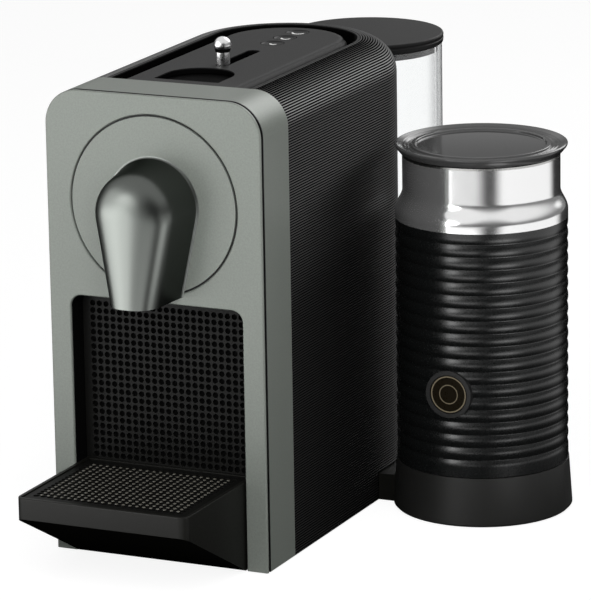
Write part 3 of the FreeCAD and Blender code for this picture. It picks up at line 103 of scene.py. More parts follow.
def linear(code):
    """Linear RGBA of an sRGB hex colour: c / 12.92 up to 0.04045, above it ((c + 0.055) / 1.055) ^ 2.4."""
    channels = np.array([int(code[at:at + 2], 16) for at in (1, 3, 5)]) / 255
    curve = np.where(channels <= 0.04045, channels / 12.92, ((channels + 0.055) / 1.055) ** 2.4)
    return (*curve.tolist(), 1.0)


def length(name, description, millimetres):
    """Property for a length, given in millimetres."""
    return FloatProperty(name=name, description=description, default=millimetres * MM, unit="LENGTH",
                         precision=5)


def colour(name, description, code):
    """Property for a colour, given as an sRGB hex value."""
    return FloatVectorProperty(name=name, description=description, default=linear(code), size=4,
                               subtype="COLOR", min=0, max=1)


class MachineSizes(PropertyGroup):
    """Sizes of the machine's own pieces."""
    shell_rib_pitch: length("Shell rib pitch", "Spacing of the fine ribs of the shell", 1.45)
    shell_rib_depth: length("Shell rib depth", "Depth of the grooves between the ribs", 0.5)
    shell_round: length("Shell top round", "Radius of the rounded top edge", 19.0)
    shell_wall: length("Shell wall", "Thickness of the shell", 2.5)
    shell_rim: length("Shell rim", "Half width of the opening for the deck", 43.2)
    skirt_height: length("Skirt height", "Height of the raised rear edge", 16.5)
    skirt_start: length("Skirt start", "Where the raised edge starts, before the swivel axis", 18.0)
    head_height: length("Brew head height", "Height of the middle of the brew head", 196.0)
    nose_radius: length("Nose root radius", "Radius of the nose at the cover", 25.5)
    nose_foot: length("Nose root foot", "Half width of the nose at its lower end, at the cover", 15.2)
    nose_tip_radius: length("Nose tip radius", "Radius of the nose at its front", 20.5)
    nose_tip_foot: length("Nose tip foot", "Half width of the nose at its lower end, at its front", 13.0)
    nose_dome: length("Nose dome", "Depth of the domed front of the nose", 14.0)
    nose_cove: length("Nose cove", "Radius of the cove where the nose meets the cover", 1.2)
    nose_crown: length("Nose crown", "How far the middle of the nose stands before its solid", 0.5)
    mark_width: length("Mark width", "Width of the printed cup marks", 1.5)
    mark_rise: length("Mark rise", "How far the printed marks stand over the button", 0.06)
    dish_depth: length("Dish depth", "Depth of the dished buttons", 0.8)
    dish_floor: length("Dish floor", "Fall of the button's floor to its middle", 0.2)
    dish_side: length("Dish side", "Width of the slope round the button's floor", 1.3)
    hole_pitch: length("Hole pitch", "Spacing of the holes of the drip grid", 4.0)
    hole_margin: length("Hole margin", "Least edge of the drip grid without holes", 5.0)
    stud_radius: length("Stud radius", "Radius of the raised dots of the drip grid", 0.95)
    stud_height: length("Stud height", "Height of the raised dots of the drip grid", 0.45)
    stud_root: length("Stud root", "How far the raised dots reach into the drip grid", 0.1)
    ball_radius: length("Ball radius", "Radius of the ball of the slider's knob", 4.7)
    ball_centre: length("Ball centre", "Height of the ball's middle over the deck", 10.7)


class LidSizes(PropertyGroup):
    """Sizes of the lids of the tank and the jug."""
    tank_plug: length("Tank plug", "Radius of the plug under the tank's lid", 40.7)
    tank_wall: length("Tank plug wall", "Thickness of the plug under the tank's lid", 1.8)
    jug_dish: length("Jug lid dish", "Depth of the jug's lid below its rim", 2.2)
    jug_ring: length("Jug lid ring", "Radius of the raised ring on the jug's lid", 36.0)
    jug_plug: length("Jug plug", "Radius of the plug under the jug's lid", 39.6)
    jug_wall: length("Jug plug wall", "Thickness of the jug's lid and its plug", 2.2)


class FrotherSizes(PropertyGroup):
    """Sizes of the frother's own pieces."""
    rib_first: length("First groove", "Height of the lowest groove round the jug", 38.0)
    rib_pitch: length("Groove pitch", "Spacing of the grooves round the jug", 7.1)
    rib_depth: length("Groove depth", "Depth of the grooves round the jug", 0.8)
    rib_count: IntProperty(name="Grooves", description="Number of grooves round the jug", default=18)
    sleeve_wall: length("Sleeve wall", "Thickness of the sleeve", 3.2)
    pocket_depth: length("Pocket depth", "Depth of the pocket that the button moves in", 4.3)
    pocket_wall: length("Pocket wall", "Thickness of the pocket's back", 0.5)
    pocket_lap: length("Pocket lap", "How far the sleeve runs in behind the button's ring", 0.6)
    pocket_side: length("Pocket side", "How far the pocket's wall stands outside the button's ring", 2.4)
    collar_band: length("Collar band", "Height of the straight foot of the collar", 3.5)
    collar_shoulder: length("Collar shoulder", "Height of the collar's drawn-in shoulder", 12.0)
    collar_neck: length("Collar neck", "Radius of the collar's neck", 43.3)
    collar_wall: length("Collar wall", "Thickness of the collar", 1.1)


class MachineFinish(PropertyGroup):
    """Colours of the finishes."""
    paint: colour("Paint", "Metallic grey paint of the front", "#777c76")
    nose: colour("Nose", "Dark metallic lacquer of the nose", "#606360")
    shell: colour("Shell", "Lit flanks of the ribs of the black shell", "#171717")
    deck: colour("Deck", "Dark grey plastic of the deck", "#151515")
    tray: colour("Tray", "Black plastic of the tray, the grille and the base", "#11110f")
    sleeve: colour("Sleeve", "Black coating of the jug", "#0d0e0e")
    ring: colour("Ring", "Printed rings on the frother's button", "#6a6252")
    button: colour("Button", "Brown of the frother's button", "#120e06")
    unit: colour("Inner plastic", "Grey plastic of the inner works", "#5f6163")
    board: colour("Board", "Green of the circuit boards", "#1f5a35")


NOISE_DETAIL = 3.0
NOISE_LOW, NOISE_HIGH = 0.3, 0.7  # most of the noise lies between these
RIB_DARK, RIB_LIT = -0.2, 0.9  # where the wave over a rib turns from painted shade to the lit colour
SEAM_SHADOW_START, SEAM_SHADOW_END = 0.5 * MM, 1.0 * MM  # the painted shadow of the seam ends between these behind the frame's front
SUNK_START, SUNK_END = 1.0 * MM, 0.1 * MM  # below the deck's top, where the painted shade of the gutters gives way to the deck's own colour and gloss
GUTTER_START, GUTTER_END = 30 * MM, 36 * MM  # across, where the painted shade lifts towards the right-hand gutter, on the lit side
DULL_FACE, LIT_FACE = -0.8, -0.45  # rise of the normal at which the tray's gloss goes and is back: painted shade on faces that look down
WALL_CLEAR, WALL_GREY = 0.35, 0.95  # how far the clear wall turns from the eye before its painted grey shade starts, and where it is full
RING_BANDS = ((5.2 * MM, 0.25 * MM), (9.9 * MM, 0.35 * MM))  # middle radius and half width of the printed rings
NUMBER_RESULTS = ("LENGTH", "DISTANCE", "DOT_PRODUCT")


def add(tree, kind, inputs=None, **settings):
    """Add a node with its settings; each input is a value, or a socket that is linked to it."""
    made = tree.nodes.new(kind)
    for name, value in settings.items():
        setattr(made, name, value)
    for key, value in (inputs or {}).items():
        if isinstance(value, bpy.types.NodeSocket):
            tree.links.new(value, made.inputs[key])
        else:
            made.inputs[key].default_value = value
    return made


def fade(tree, value, start, end, low, high):
    """Smooth step of a value: low at the start, high at the end."""
    return add(tree, "ShaderNodeMapRange", {0: value, 1: start, 2: end, 3: low, 4: high},
               interpolation_type="SMOOTHSTEP").outputs[0]


def math_node(tree, operation, *values):
    """Result of a Math node."""
    return add(tree, "ShaderNodeMath", dict(enumerate(values)), operation=operation).outputs[0]


def vector_node(tree, operation, *values):
    """Result of a Vector Math node: a number for a length, a distance or a dot product, else a vector."""
    made = add(tree, "ShaderNodeVectorMath", dict(enumerate(values)), operation=operation)
    return made.outputs["Value" if operation in NUMBER_RESULTS else "Vector"]


def blended(tree, share, first, second):
    """Colour between two colours, by a share from 0 to 1."""
    return add(tree, "ShaderNodeMix", {0: share, 6: first, 7: second}, data_type="RGBA").outputs[2]


def coordinate(tree, kind="Object"):
    """X, Y and Z of a texture coordinate."""
    place = add(tree, "ShaderNodeTexCoord").outputs[kind]
    return add(tree, "ShaderNodeSeparateXYZ", {0: place}).outputs


def tone(code):
    """Linear RGBA of an sRGB hex colour, or of a finish that is set in the sidebar."""
    return linear(code) if code[0] == "#" else tuple(getattr(bpy.context.scene.machine_finish, code))


def shader_of(material):
    """The material's surface shader."""
    return material.node_tree.nodes["Principled BSDF"]


def grained(name, code, grain, relief, roughness, spread=0.08, shade=0.8, **sockets):
    """Material with a mottled grain: noise on Object coordinates varies its colour, gloss and relief.

    The size of the grain and the height of its relief are in millimetres; the shade darkens its low places.
    """
    own = tone(code)
    material = bpy.data.materials.new(name)
    material.use_nodes = True
    tree, shader = material.node_tree, shader_of(material)
    for key, value in sockets.items():
        shader.inputs[key.replace("_", " ")].default_value = value
    place = add(tree, "ShaderNodeTexCoord").outputs["Object"]
    noise = add(tree, "ShaderNodeTexNoise", {"Vector": place, "Scale": 1 / (grain * MM), "Detail": NOISE_DETAIL})
    height = noise.outputs[0]
    dark = (*[channel * shade for channel in own[:3]], 1.0)
    gloss = add(tree, "ShaderNodeMapRange", {0: height, 1: NOISE_LOW, 2: NOISE_HIGH, 3: roughness - spread,
                                             4: roughness + spread})
    bump = add(tree, "ShaderNodeBump", {"Height": height, "Distance": relief * MM, "Strength": 1.0})
    tree.links.new(blended(tree, height, dark, own), shader.inputs["Base Color"])
    tree.links.new(gloss.outputs[0], shader.inputs["Roughness"])
    tree.links.new(bump.outputs[0], shader.inputs["Normal"])
    return material


def recolour(material, share, code):
    """Mix another colour into a material's own, by a share from 0 to 1."""
    base = shader_of(material).inputs["Base Color"]
    mixed = blended(material.node_tree, share, base.links[0].from_socket, tone(code))
    material.node_tree.links.new(mixed, base)


def paint_shade(material, shade, gloss):
    """Paint shade into a material: take it to black by a shade from 0 to 1, and its gloss with it."""
    tree = material.node_tree
    recolour(material, shade, "#060606")
    level = math_node(tree, "MULTIPLY_ADD", shade, -gloss, gloss)
    tree.links.new(level, shader_of(material).inputs["Specular IOR Level"])


def plain(name, code, **settings):
    """Maker of a grained material that needs nothing more."""
    return partial(grained, name, code, **settings)


# Baked metallic paint on pressed steel: an even satin with fine bright flakes
painted_steel = plain("metallic_paint", "paint", grain=0.9, relief=0.003, roughness=0.42, spread=0.05,
                      shade=0.62, Metallic=0.12, Specular_IOR_Level=0.3)
# Dark metallic lacquer over the die-cast nose: a soft gloss that draws the lamps out into streaks
nose_lacquer = plain("metallic_lacquer", "nose", grain=0.5, relief=0.0002, roughness=0.35, spread=0.01,
                     shade=0.88, Metallic=1.0, Specular_Tint=linear("#808080"))
# Dark grey ABS from a spark-eroded tool: matt, with a fine even grain
deck_abs = plain("matt_grey_abs", "deck", grain=0.5, relief=0.012, roughness=0.55, spread=0.06,
                 Specular_IOR_Level=0.14)
# Black ABS of the dished buttons: darker and duller than the deck round it
button_abs = plain("dull_button_abs", "#0e0e0e", grain=0.6, relief=0.006, roughness=0.5, spread=0.06,
                   Specular_IOR_Level=0.15)
# Near-black plastic with almost no gloss: the black of the knob's cup, and a painted shade on the black pieces
# that sit in shadow behind holes
black_and_shade_abs = plain("dull_black_abs", "#070707", grain=0.8, relief=0.01, roughness=0.8, Specular_IOR_Level=0.02)
# Black ABS deep in the bay and under the cup, darker and less glossy than the tray: a painted shade, so that the
# holes and bars stay near black
shaded_abs = plain("matt_black_abs", "#0c0c0b", grain=0.6, relief=0.006, roughness=0.5, spread=0.06,
                   Specular_IOR_Level=0.09)
# Tops of the grid's dots: black ABS lightened to a painted highlight, and smoother than the tray, so that each
# dot holds a small light
stud_highlight_abs = plain("rubbed_black_abs", "#4c4a43", grain=0.6, relief=0.002, roughness=0.36, spread=0.04)
# Satin chrome plating: blurs the room into broad soft bands
satin_chrome = plain("satin_chrome", "#dcdcdc", grain=4.0, relief=0.0005, roughness=0.28, spread=0.02,
                     shade=0.97, Metallic=1.0)
# Black ABS of the frother's base: a fine satin that shows the curve of its wall
dock_abs = plain("satin_base_abs", "#1c1c1b", grain=0.7, relief=0.006, roughness=0.42, spread=0.06)
# Black soft-feel lacquer over the jug: deep satin with a slow change of gloss
soft_coating = plain("soft_black_lacquer", "sleeve", grain=2.0, relief=0.0008, roughness=0.27, spread=0.02)
# Chrome plating: a mirror with the slightest waviness of polished sheet
chrome = plain("chrome_plate", "#e4e4e4", grain=9.0, relief=0.003, roughness=0.14, spread=0.015, shade=0.97,
               Metallic=0.9)
# Deep-drawn stainless steel with a fine satin
stainless_steel = plain("satin_stainless", "#b4b4b2", grain=0.8, relief=0.004, roughness=0.28, shade=0.9,
                        Metallic=1.0)
# Die-cast aluminium with its rough skin
cast_aluminium = plain("cast_aluminium", "#a8a9aa", grain=1.2, relief=0.03, roughness=0.5, spread=0.1,
                       shade=0.85, Metallic=1.0)
# Smoke-tinted moulded SAN: glossy, and dark where it is thick
smoky_plastic = plain("smoky_san", "#484848", grain=30.0, relief=0.002, roughness=0.08, spread=0.01, shade=0.98,
                      Transmission_Weight=0.15, IOR=1.52, Specular_IOR_Level=0.22)
# Milky polypropylene of the valve
milky_plastic = plain("milky_polypropylene", "#d4d4d0", grain=0.8, relief=0.005, roughness=0.45)
# Glass-filled nylon: matt, with a faint mottle from the fibres
nylon = plain("filled_nylon", "unit", grain=1.0, relief=0.01, roughness=0.55)
# Black moulded rubber: dull, with dust in its grain
rubber = plain("moulded_rubber", "#141414", grain=0.7, relief=0.02, roughness=0.75)
# Glass epoxy under green solder resist, with the weave of the glass cloth just showing
circuit_board = plain("solder_resist", "board", grain=0.9, relief=0.006, roughness=0.35)
# Smooth black ABS of the ring round the frother's button
bezel_gloss = plain("smooth_black_abs", "#1d1d1d", grain=1.5, relief=0.002, roughness=0.35, spread=0.05,
                    Specular_IOR_Level=0.3)
# White pad-printed ink: thin, slightly uneven
printed_ink = plain("white_ink", "#fafaf8", grain=0.4, relief=0.003, roughness=0.5, shade=0.9)


def seam_shaded_steel():
    """The front's paint, with a painted shadow line of the seam round the front edge of the frame."""
    material = painted_steel()
    tree = material.node_tree
    back = coordinate(tree)["Y"]
    # Painted shadow: the paint turns near black along the frame's front edge, where the seam lies in shade
    seam_shadow = fade(tree, back, FRAME_FRONT + SEAM_SHADOW_START, FRAME_FRONT + SEAM_SHADOW_END, 1.0, 0.0)
    recolour(material, seam_shadow, "#0a0a0a")
    return material


def rib_shade(tree, sizes):
    """Painted shade on the ribs, by the wave sin(2 pi s / pitch): 1 on their lower flanks and 0 on the upper
    ones.

    The length s runs up the side, and then round the top edge by the angle about the middle of its circle.
    """
    x, y, z = coordinate(tree)
    bend_x, bend_z = SHELL_HIGH.x - sizes.shell_round, SHELL_HIGH.z - sizes.shell_round
    node = partial(math_node, tree)
    behind = node("MAXIMUM", y, 0.0)
    squares = node("MULTIPLY_ADD", x, x, node("MULTIPLY", behind, behind))
    across = node("SUBTRACT", node("SQRT", squares), bend_x)
    lean = node("ARCTAN2", node("SUBTRACT", z, bend_z), across)
    climb = node("SUBTRACT", node("MINIMUM", z, bend_z), SHELL_LOW.z)
    s = node("MULTIPLY_ADD", node("MAXIMUM", lean, 0.0), sizes.shell_round, climb)
    reach_over = bend_z - SHELL_LOW.z + sizes.shell_round * QUARTER
    ribs = round(reach_over / sizes.shell_rib_pitch)
    wave = node("SINE", node("MULTIPLY", s, FULL * ribs / reach_over))
    return fade(tree, wave, RIB_DARK, RIB_LIT, 1.0, 0.0)


def ribbed_abs():
    """Black ABS with fine ribs, and painted shade on the lower flank of each rib, so the upper flanks stand out
    as painted lines of light.
    """
    material = grained("ribbed_black_abs", "shell", grain=0.6, relief=0.003, roughness=0.42, spread=0.05,
                       shade=1.0)
    paint_shade(material, rib_shade(material.node_tree, bpy.context.scene.machine_sizes), gloss=0.34)
    return material


def sunk_deck_abs():
    """The deck's ABS with painted shade below its top: colour and gloss go to black in the gutters, save the
    right-hand gutter on the lit side.
    """
    material = deck_abs()
    tree = material.node_tree
    across, _, height = coordinate(tree)
    sunk = fade(tree, height, DECK_TOP - SUNK_START, DECK_TOP - SUNK_END, 1.0, 0.0)
    unlit_side = fade(tree, across, GUTTER_START, GUTTER_END, 1.0, 0.2)
    # Painted shade: black below the deck's top, and only a fifth of it across in the right-hand gutter
    paint_shade(material, math_node(tree, "MINIMUM", sunk, unlit_side), gloss=0.14)
    return material


def tray_abs():
    """Black ABS with a satin texture that hides scratches; faces that look down lose their gloss, a painted
    shade that keeps them black.
    """
    material = grained("satin_black_abs", "tray", grain=0.6, relief=0.008, roughness=0.42, spread=0.06)
    tree = material.node_tree
    # Painted shade: no gloss on faces that look down
    gloss = fade(tree, coordinate(tree, "Normal")["Z"], DULL_FACE, LIT_FACE, 0.0, 0.17)
    tree.links.new(gloss, shader_of(material).inputs["Specular IOR Level"])
    return material


def clear_plastic():
    """Clear moulded SAN: like glass, with faint flow marks, and a painted grey shade where the eye runs along
    its wall.
    """
    material = grained("clear_san", "#fcfdfd", grain=30.0, relief=0.0002, roughness=0.03, spread=0.01,
                       shade=0.99, Transmission_Weight=1.0, IOR=1.5)
    tree = material.node_tree
    facing = add(tree, "ShaderNodeLayerWeight", {"Blend": 0.5}).outputs["Facing"]
    # Painted shade: grey where the wall is seen edge-on
    recolour(material, fade(tree, facing, WALL_CLEAR, WALL_GREY, 0.0, 1.0), "#8c8e8f")
    return material


def ringed_button():
    """Gloss brown ABS with two printed rings: the rings are bands of the distance from the button's middle."""
    material = grained("ringed_brown_abs", "button", grain=1.5, relief=0.001, roughness=0.3, spread=0.05,
                       Specular_IOR_Level=0.06)
    tree = material.node_tree
    place = add(tree, "ShaderNodeTexCoord").outputs["Object"]
    moved = vector_node(tree, "SUBTRACT", place, PRESS_CENTRE)
    away = vector_node(tree, "LENGTH", vector_node(tree, "MULTIPLY", moved, (1, 0, 1)))
    bands = [math_node(tree, "COMPARE", away, radius, half) for radius, half in RING_BANDS]
    recolour(material, math_node(tree, "MAXIMUM", *bands), "ring")
    return material


SLOT_FINISHES = {
    "grey_paint": painted_steel,
    "shell_black": tray_abs,
    "deck_grey": deck_abs,
    "tray_black": tray_abs,
    "sleeve_black": soft_coating,
    "chrome": chrome,
    "button_brown": ringed_button,
    "bezel_grey": bezel_gloss,
    "steel": stainless_steel,
    "alloy": cast_aluminium,
    "clear_plastic": clear_plastic,
    "smoke_plastic": smoky_plastic,
    "valve_white": milky_plastic,
    "unit_plastic": nylon,
    "rubber": rubber,
    "board": circuit_board,
}
NODE_FINISHES = {
    "front_frame": seam_shaded_steel,
    "capsule_container": black_and_shade_abs,
    "capsule_shutter": black_and_shade_abs,
    "top_deck": sunk_deck_abs,
    "frother_base": dock_abs,
    "bay_grille": shaded_abs,
    "bay_liner": black_and_shade_abs,
    "drip_grid": shaded_abs,
    **{f"{label}_cup_button": button_abs for label in MARK_RADII},
}
made_finishes = {}


def finish_of(maker):
    """The material of a maker function, made once."""
    if maker not in made_finishes:
        made_finishes[maker] = maker()
    return made_finishes[maker]


def placed(name, data):
    """New object in the scene."""
    made = bpy.data.objects.new(name, data)
    bpy.context.scene.collection.objects.link(made)
    return made


def quads(rows, columns, wrap_rows, wrap_columns):
    """Corner numbers of the quads of a grid of points that is stored row by row."""
    row = np.arange(rows if wrap_rows else rows - 1)[:, None]
    column = np.arange(columns if wrap_columns else columns - 1)[None, :]
    above, beside = (row + 1) % rows, (column + 1) % columns
    corners = [row * columns + column, row * columns + beside,
               above * columns + beside, above * columns + column]
    return np.stack(np.broadcast_arrays(*corners), axis=-1).reshape(-1, 4)


def piece(name, points, body, maker, stands_for=(), wrap_rows=False, wrap_columns=False, caps=(),
          crease=35):
    """Mesh piece of one or more grids of points: neighbours become quads, caps close outlines, doubles merge."""
    rows, columns = points.shape[-3:-1]
    first = np.arange(0, points.size // 3, rows * columns)[:, None, None]
    faces = (quads(rows, columns, wrap_rows, wrap_columns) + first).reshape(-1, 4).tolist()
    faces += [list(cap) for cap in caps]
    mesh = bpy.data.meshes.new(name)
    mesh.from_pydata(points.reshape(-1, 3).tolist(), [], faces)
    work = bmesh.new()
    work.from_mesh(mesh)
    bmesh.ops.remove_doubles(work, verts=work.verts, dist=WELD)
    bmesh.ops.dissolve_degenerate(work, dist=WELD, edges=work.edges)
    bmesh.ops.recalc_face_normals(work, faces=work.faces)
    work.to_mesh(mesh)
    work.free()
    mesh.shade_smooth()
    mesh.set_sharp_from_angle(angle=math.radians(crease))
    mesh.materials.append(finish_of(maker))
    made = placed(name, mesh)
    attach(made, body)
    if stands_for:
        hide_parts(*stands_for)


def rounded(corners, steps=8):
    """Outline through corners (across, up, reach), each of them rounded to a parabola.

    With a and b the points at the reach before and after it, p(t) = (1 - t)^2 a + 2 t (1 - t) corner + t^2 b.
    """
    corners = np.asarray(corners, float)
    at, reach = corners[:, :2], corners[:, 2:]
    back, ahead = np.roll(at, 1, axis=0) - at, np.roll(at, -1, axis=0) - at
    start = at + reach * back / np.linalg.norm(back, axis=1, keepdims=True)
    end = at + reach * ahead / np.linalg.norm(ahead, axis=1, keepdims=True)
    t = np.linspace(0, 1, steps)[None, :, None]
    curve = (1 - t) ** 2 * start[:, None] + 2 * t * (1 - t) * at[:, None] + t ** 2 * end[:, None]
    return curve.reshape(-1, 2)


def turned(outline, axis, turns=128):
    """Grid of an outline of (radius, height) turned about an upright axis: x = r cos a, y = r sin a."""
    angle = np.arange(turns) / turns * FULL
    radius, height = outline[:, :1], outline[:, 1:]
    return np.stack([axis.x + radius * np.cos(angle), axis.y + radius * np.sin(angle),
                     np.broadcast_to(height, (len(outline), turns))], axis=-1)


def ribbed_shell(sizes, rib_points=5, rear_steps=56, inner_points=9):
    """Grid of the shell: a ribbed section carried along the plan.

    The section climbs the side and turns over the top edge on a quarter circle. At the length s along it the
    surface dips by depth * (1 - |cos(pi s / pitch)|), which leaves round ribs between narrow grooves.
    The plan runs along one side, round the half circle of the rear and back along the other side.
    """
    half, floor, top = SHELL_HIGH.x, SHELL_LOW.z, SHELL_HIGH.z
    turn, wall = sizes.shell_round, sizes.shell_wall
    side = np.array([SHELL_LOW.y, -sizes.skirt_start, -sizes.skirt_start])
    rear = np.linspace(0, HALF, rear_steps + 1)
    angle = np.concatenate([np.zeros_like(side), rear, np.full_like(side, HALF)])
    shift = np.concatenate([side, np.zeros_like(rear), side[::-1]])
    low = np.array([floor, floor, sizes.skirt_height])
    foot = np.concatenate([low, np.full_like(rear, sizes.skirt_height), low[::-1]])

    straight = top - turn - floor
    reach_over = straight + turn * QUARTER
    ribs = round(reach_over / sizes.shell_rib_pitch)
    s = np.linspace(0, reach_over, ribs * rib_points + 1)[:, None]
    s = np.maximum(s, foot - floor)
    lean = np.clip((s - straight) / turn, 0, QUARTER)
    dip = sizes.shell_rib_depth * (1 - np.abs(np.cos(HALF * s * ribs / reach_over)))
    outer_reach = half - turn + (turn - dip) * np.cos(lean)
    outer_height = floor + np.minimum(s, straight) + (turn - dip) * np.sin(lean)

    bend = np.linspace(QUARTER, 0, inner_points)
    bend_reach = half - turn + (turn - wall) * np.cos(bend)
    bend_height = top - turn + (turn - wall) * np.sin(bend)
    inner_reach = np.concatenate([[sizes.shell_rim] * 2, bend_reach, [half - wall]])
    inner_height = np.concatenate([[top, top - wall], bend_height, [floor]])
    columns = np.ones_like(angle)
    reach = np.concatenate([outer_reach, inner_reach[:, None] * columns])
    height = np.concatenate([outer_height, np.maximum(inner_height[:, None], foot)])
    return np.stack([reach * np.cos(angle), reach * np.sin(angle) + shift, height], axis=-1)


def nose_grid(sizes, side_points=10, arc_points=41, cove_rows=12, wall_rows=2, dome_rows=40, fullness=2.5):
    """Grid of the nose: rings round its teardrop outline, from a cove at the cover over the side to the dome.

    The outline at a depth d is a circle about the brew head and two tangents down to the foot. The dome draws
    it in to the nose's middle line by a share p while d climbs by q: p^n + q^n = 1, with n the fullness.
    """
    reach, dome, cove = NOSE_HIGH.y - NOSE_LOW.y + sizes.nose_crown, sizes.nose_dome, sizes.nose_cove
    quarter, climb = np.linspace(0, QUARTER, cove_rows), np.linspace(0, QUARTER, dome_rows)
    wall = np.linspace(cove, reach - dome, wall_rows + 2)[1:-1]
    p, q = np.maximum(np.cos(climb), 0) ** (2 / fullness), np.sin(climb) ** (2 / fullness)
    depth = np.concatenate([cove * (1 - np.cos(quarter)), wall, reach - dome + dome * q])[:, None]
    flare = np.concatenate([cove * (1 - np.sin(quarter)), np.zeros(wall_rows + dome_rows)])[:, None]
    draw = np.concatenate([np.ones(cove_rows + wall_rows), p])[:, None]
    share = depth / reach
    radius = sizes.nose_radius + (sizes.nose_tip_radius - sizes.nose_radius) * share
    foot = sizes.nose_foot + (sizes.nose_tip_foot - sizes.nose_foot) * share
    drop = NOSE_LOW.z - sizes.head_height
    touch = np.arctan2(drop, foot) + np.arccos(radius / np.hypot(foot, drop))
    wide = radius + flare
    low_x = (wide - drop * np.sin(touch)) / np.cos(touch)
    along = np.linspace(0, 1, side_points)[None, :]
    line_x = low_x + (wide * np.cos(touch) - low_x) * along
    line_z = drop + (wide * np.sin(touch) - drop) * along
    angle = touch + (HALF - 2 * touch) * np.linspace(0, 1, arc_points)[None, :]
    x = np.concatenate([line_x, wide * np.cos(angle), -line_x[:, ::-1]], axis=1)
    z = np.concatenate([line_z, wide * np.sin(angle), line_z[:, ::-1]], axis=1)
    y = np.broadcast_to(NOSE_HIGH.y - depth, x.shape)
    spine = np.minimum(z, 0)
    return np.stack([x * draw, y, spine + (z - spine) * draw + sizes.head_height], axis=-1)


def waved_sleeve(sizes, rows_per_rib=14, inner_rows=70):
    """Grid of the jug's sleeve: r = R - depth * (2 u - 1)^2, with u running from 0 to 1 over each rib.

    The turn is divided finely round the button, where the wall steps back to a pocket that the button moves in.
    """
    count = int((SLEEVE_HIGH.z - SLEEVE_LOW.z) / sizes.rib_pitch * rows_per_rib)
    outer_z = np.linspace(SLEEVE_LOW.z, SLEEVE_HIGH.z, count)[:, None]
    inner_z = np.linspace(SLEEVE_HIGH.z, SLEEVE_LOW.z, inner_rows)[:, None]
    last = sizes.rib_first + sizes.rib_pitch * (sizes.rib_count - 1)
    half_pitch = sizes.rib_pitch / 2
    ribbed = np.clip(outer_z, sizes.rib_first - half_pitch, last + half_pitch)
    wave = (2 * np.mod((ribbed - sizes.rib_first) / sizes.rib_pitch, 1) - 1) ** 2
    fine = np.linspace(-BUTTON_SPAN, BUTTON_SPAN, FINE_COLUMNS)
    coarse = np.linspace(BUTTON_SPAN, FULL - BUTTON_SPAN, COARSE_COLUMNS)[1:-1]
    angle = np.concatenate([fine, coarse]) - QUARTER
    radius = (SLEEVE_HIGH.x - SLEEVE_LOW.x) / 2
    inner = np.full_like(inner_z, radius - sizes.sleeve_wall)
    plain = np.concatenate([radius - sizes.rib_depth * wave, inner])
    z = np.concatenate([outer_z, inner_z]) * np.ones_like(angle)
    away = np.where(np.sin(angle) < 0, np.hypot(radius * np.cos(angle), z - PRESS_CENTRE.z), radius)
    inside = np.arange(len(z))[:, None] >= count
    edge = (BEZEL_HIGH.x - BEZEL_LOW.x) / 2 + np.where(inside, sizes.pocket_side, -sizes.pocket_lap)
    pocket = radius - sizes.pocket_depth - sizes.pocket_wall * inside
    r = np.where(away < edge, pocket, plain)
    return np.stack([JUG_AXIS.x + r * np.cos(angle), JUG_AXIS.y + r * np.sin(angle), z], axis=-1)


class COFFEE_OT_finishes(Operator):
    """Give every solid of the frame its own finish or that of its material slot"""
    bl_idname = "coffee.finishes"
    bl_label = "Finishes"

    def execute(self, context):
        for entry in frame["record"]["subparts"]:
            mesh = frame["nodes"][entry["node"]].data
            mesh.materials.clear()
            maker = NODE_FINISHES.get(entry["node"], SLOT_FINISHES[entry["material_slot"]])
            mesh.materials.append(finish_of(maker))
        return {"FINISHED"}


class COFFEE_OT_shell(Operator):
    """Ribbed cover round the sides, the rear and the top edge"""
    bl_idname = "coffee.shell"
    bl_label = "Ribbed shell"

    def execute(self, context):
        points = ribbed_shell(context.scene.machine_sizes)
        rows, columns = points.shape[:2]
        ends = [np.arange(rows) * columns + column for column in (0, columns - 1)]
        piece("ribbed_shell", points, "machine", ribbed_abs, ["body_shell"],
              wrap_rows=True, caps=ends, crease=50)
        return {"FINISHED"}


class COFFEE_OT_nose(Operator):
    """Nose of the brew head, with its cove at the cover, domed front and flat foot"""
    bl_idname = "coffee.nose"
    bl_label = "Nose"

    def execute(self, context):
        points = nose_grid(context.scene.machine_sizes)
        rows, columns = points.shape[:2]
        one_side = np.arange(rows) * columns
        foot = np.concatenate([one_side, (one_side + columns - 1)[::-1]])
        piece("nose", points, "machine", nose_lacquer, ["spout_housing"],
              caps=[foot, np.arange(columns)])
        return {"FINISHED"}


def shifted(corners, across, up):
    """Outline corners (across, up, reach) in millimetres, moved to a place."""
    return np.array(corners) * MM + np.array([across, up, 0])


class COFFEE_OT_knob(Operator):
    """Slider knob: a polished ball in a black cup on a polished shaft"""
    bl_idname = "coffee.knob"
    bl_label = "Slider knob"

    def execute(self, context):
        sizes = context.scene.machine_sizes
        shaft = shifted(KNOB_SHAFT, 0, DECK_TOP)
        stem = [(0, STEM_LOW.z, 0), (shaft[0, 0], STEM_LOW.z, 0)]
        self.turn("knob_shaft", rounded(np.concatenate([stem, shaft])), "chrome", satin_chrome, ["slider_stem"])
        self.turn("knob_cup", rounded(shifted(KNOB_CUP, 0, DECK_TOP)), "deck_grey", black_and_shade_abs)
        lean = np.linspace(BALL_SEAT, QUARTER, BALL_ROWS)
        height = DECK_TOP + sizes.ball_centre + sizes.ball_radius * np.sin(lean)
        ball = np.array([[0, *(sizes.ball_radius * np.cos(lean))], [height[0], *height]]).T
        self.turn("knob_ball", ball, "chrome", satin_chrome, ["slider_knob"])
        return {"FINISHED"}

    def turn(self, name, outline, slot, maker, stands_for=()):
        """Piece of the knob, turned about its axis."""
        piece(name, turned(outline, KNOB_AXIS, KNOB_TURNS), "slider", maker, stands_for, wrap_columns=True)


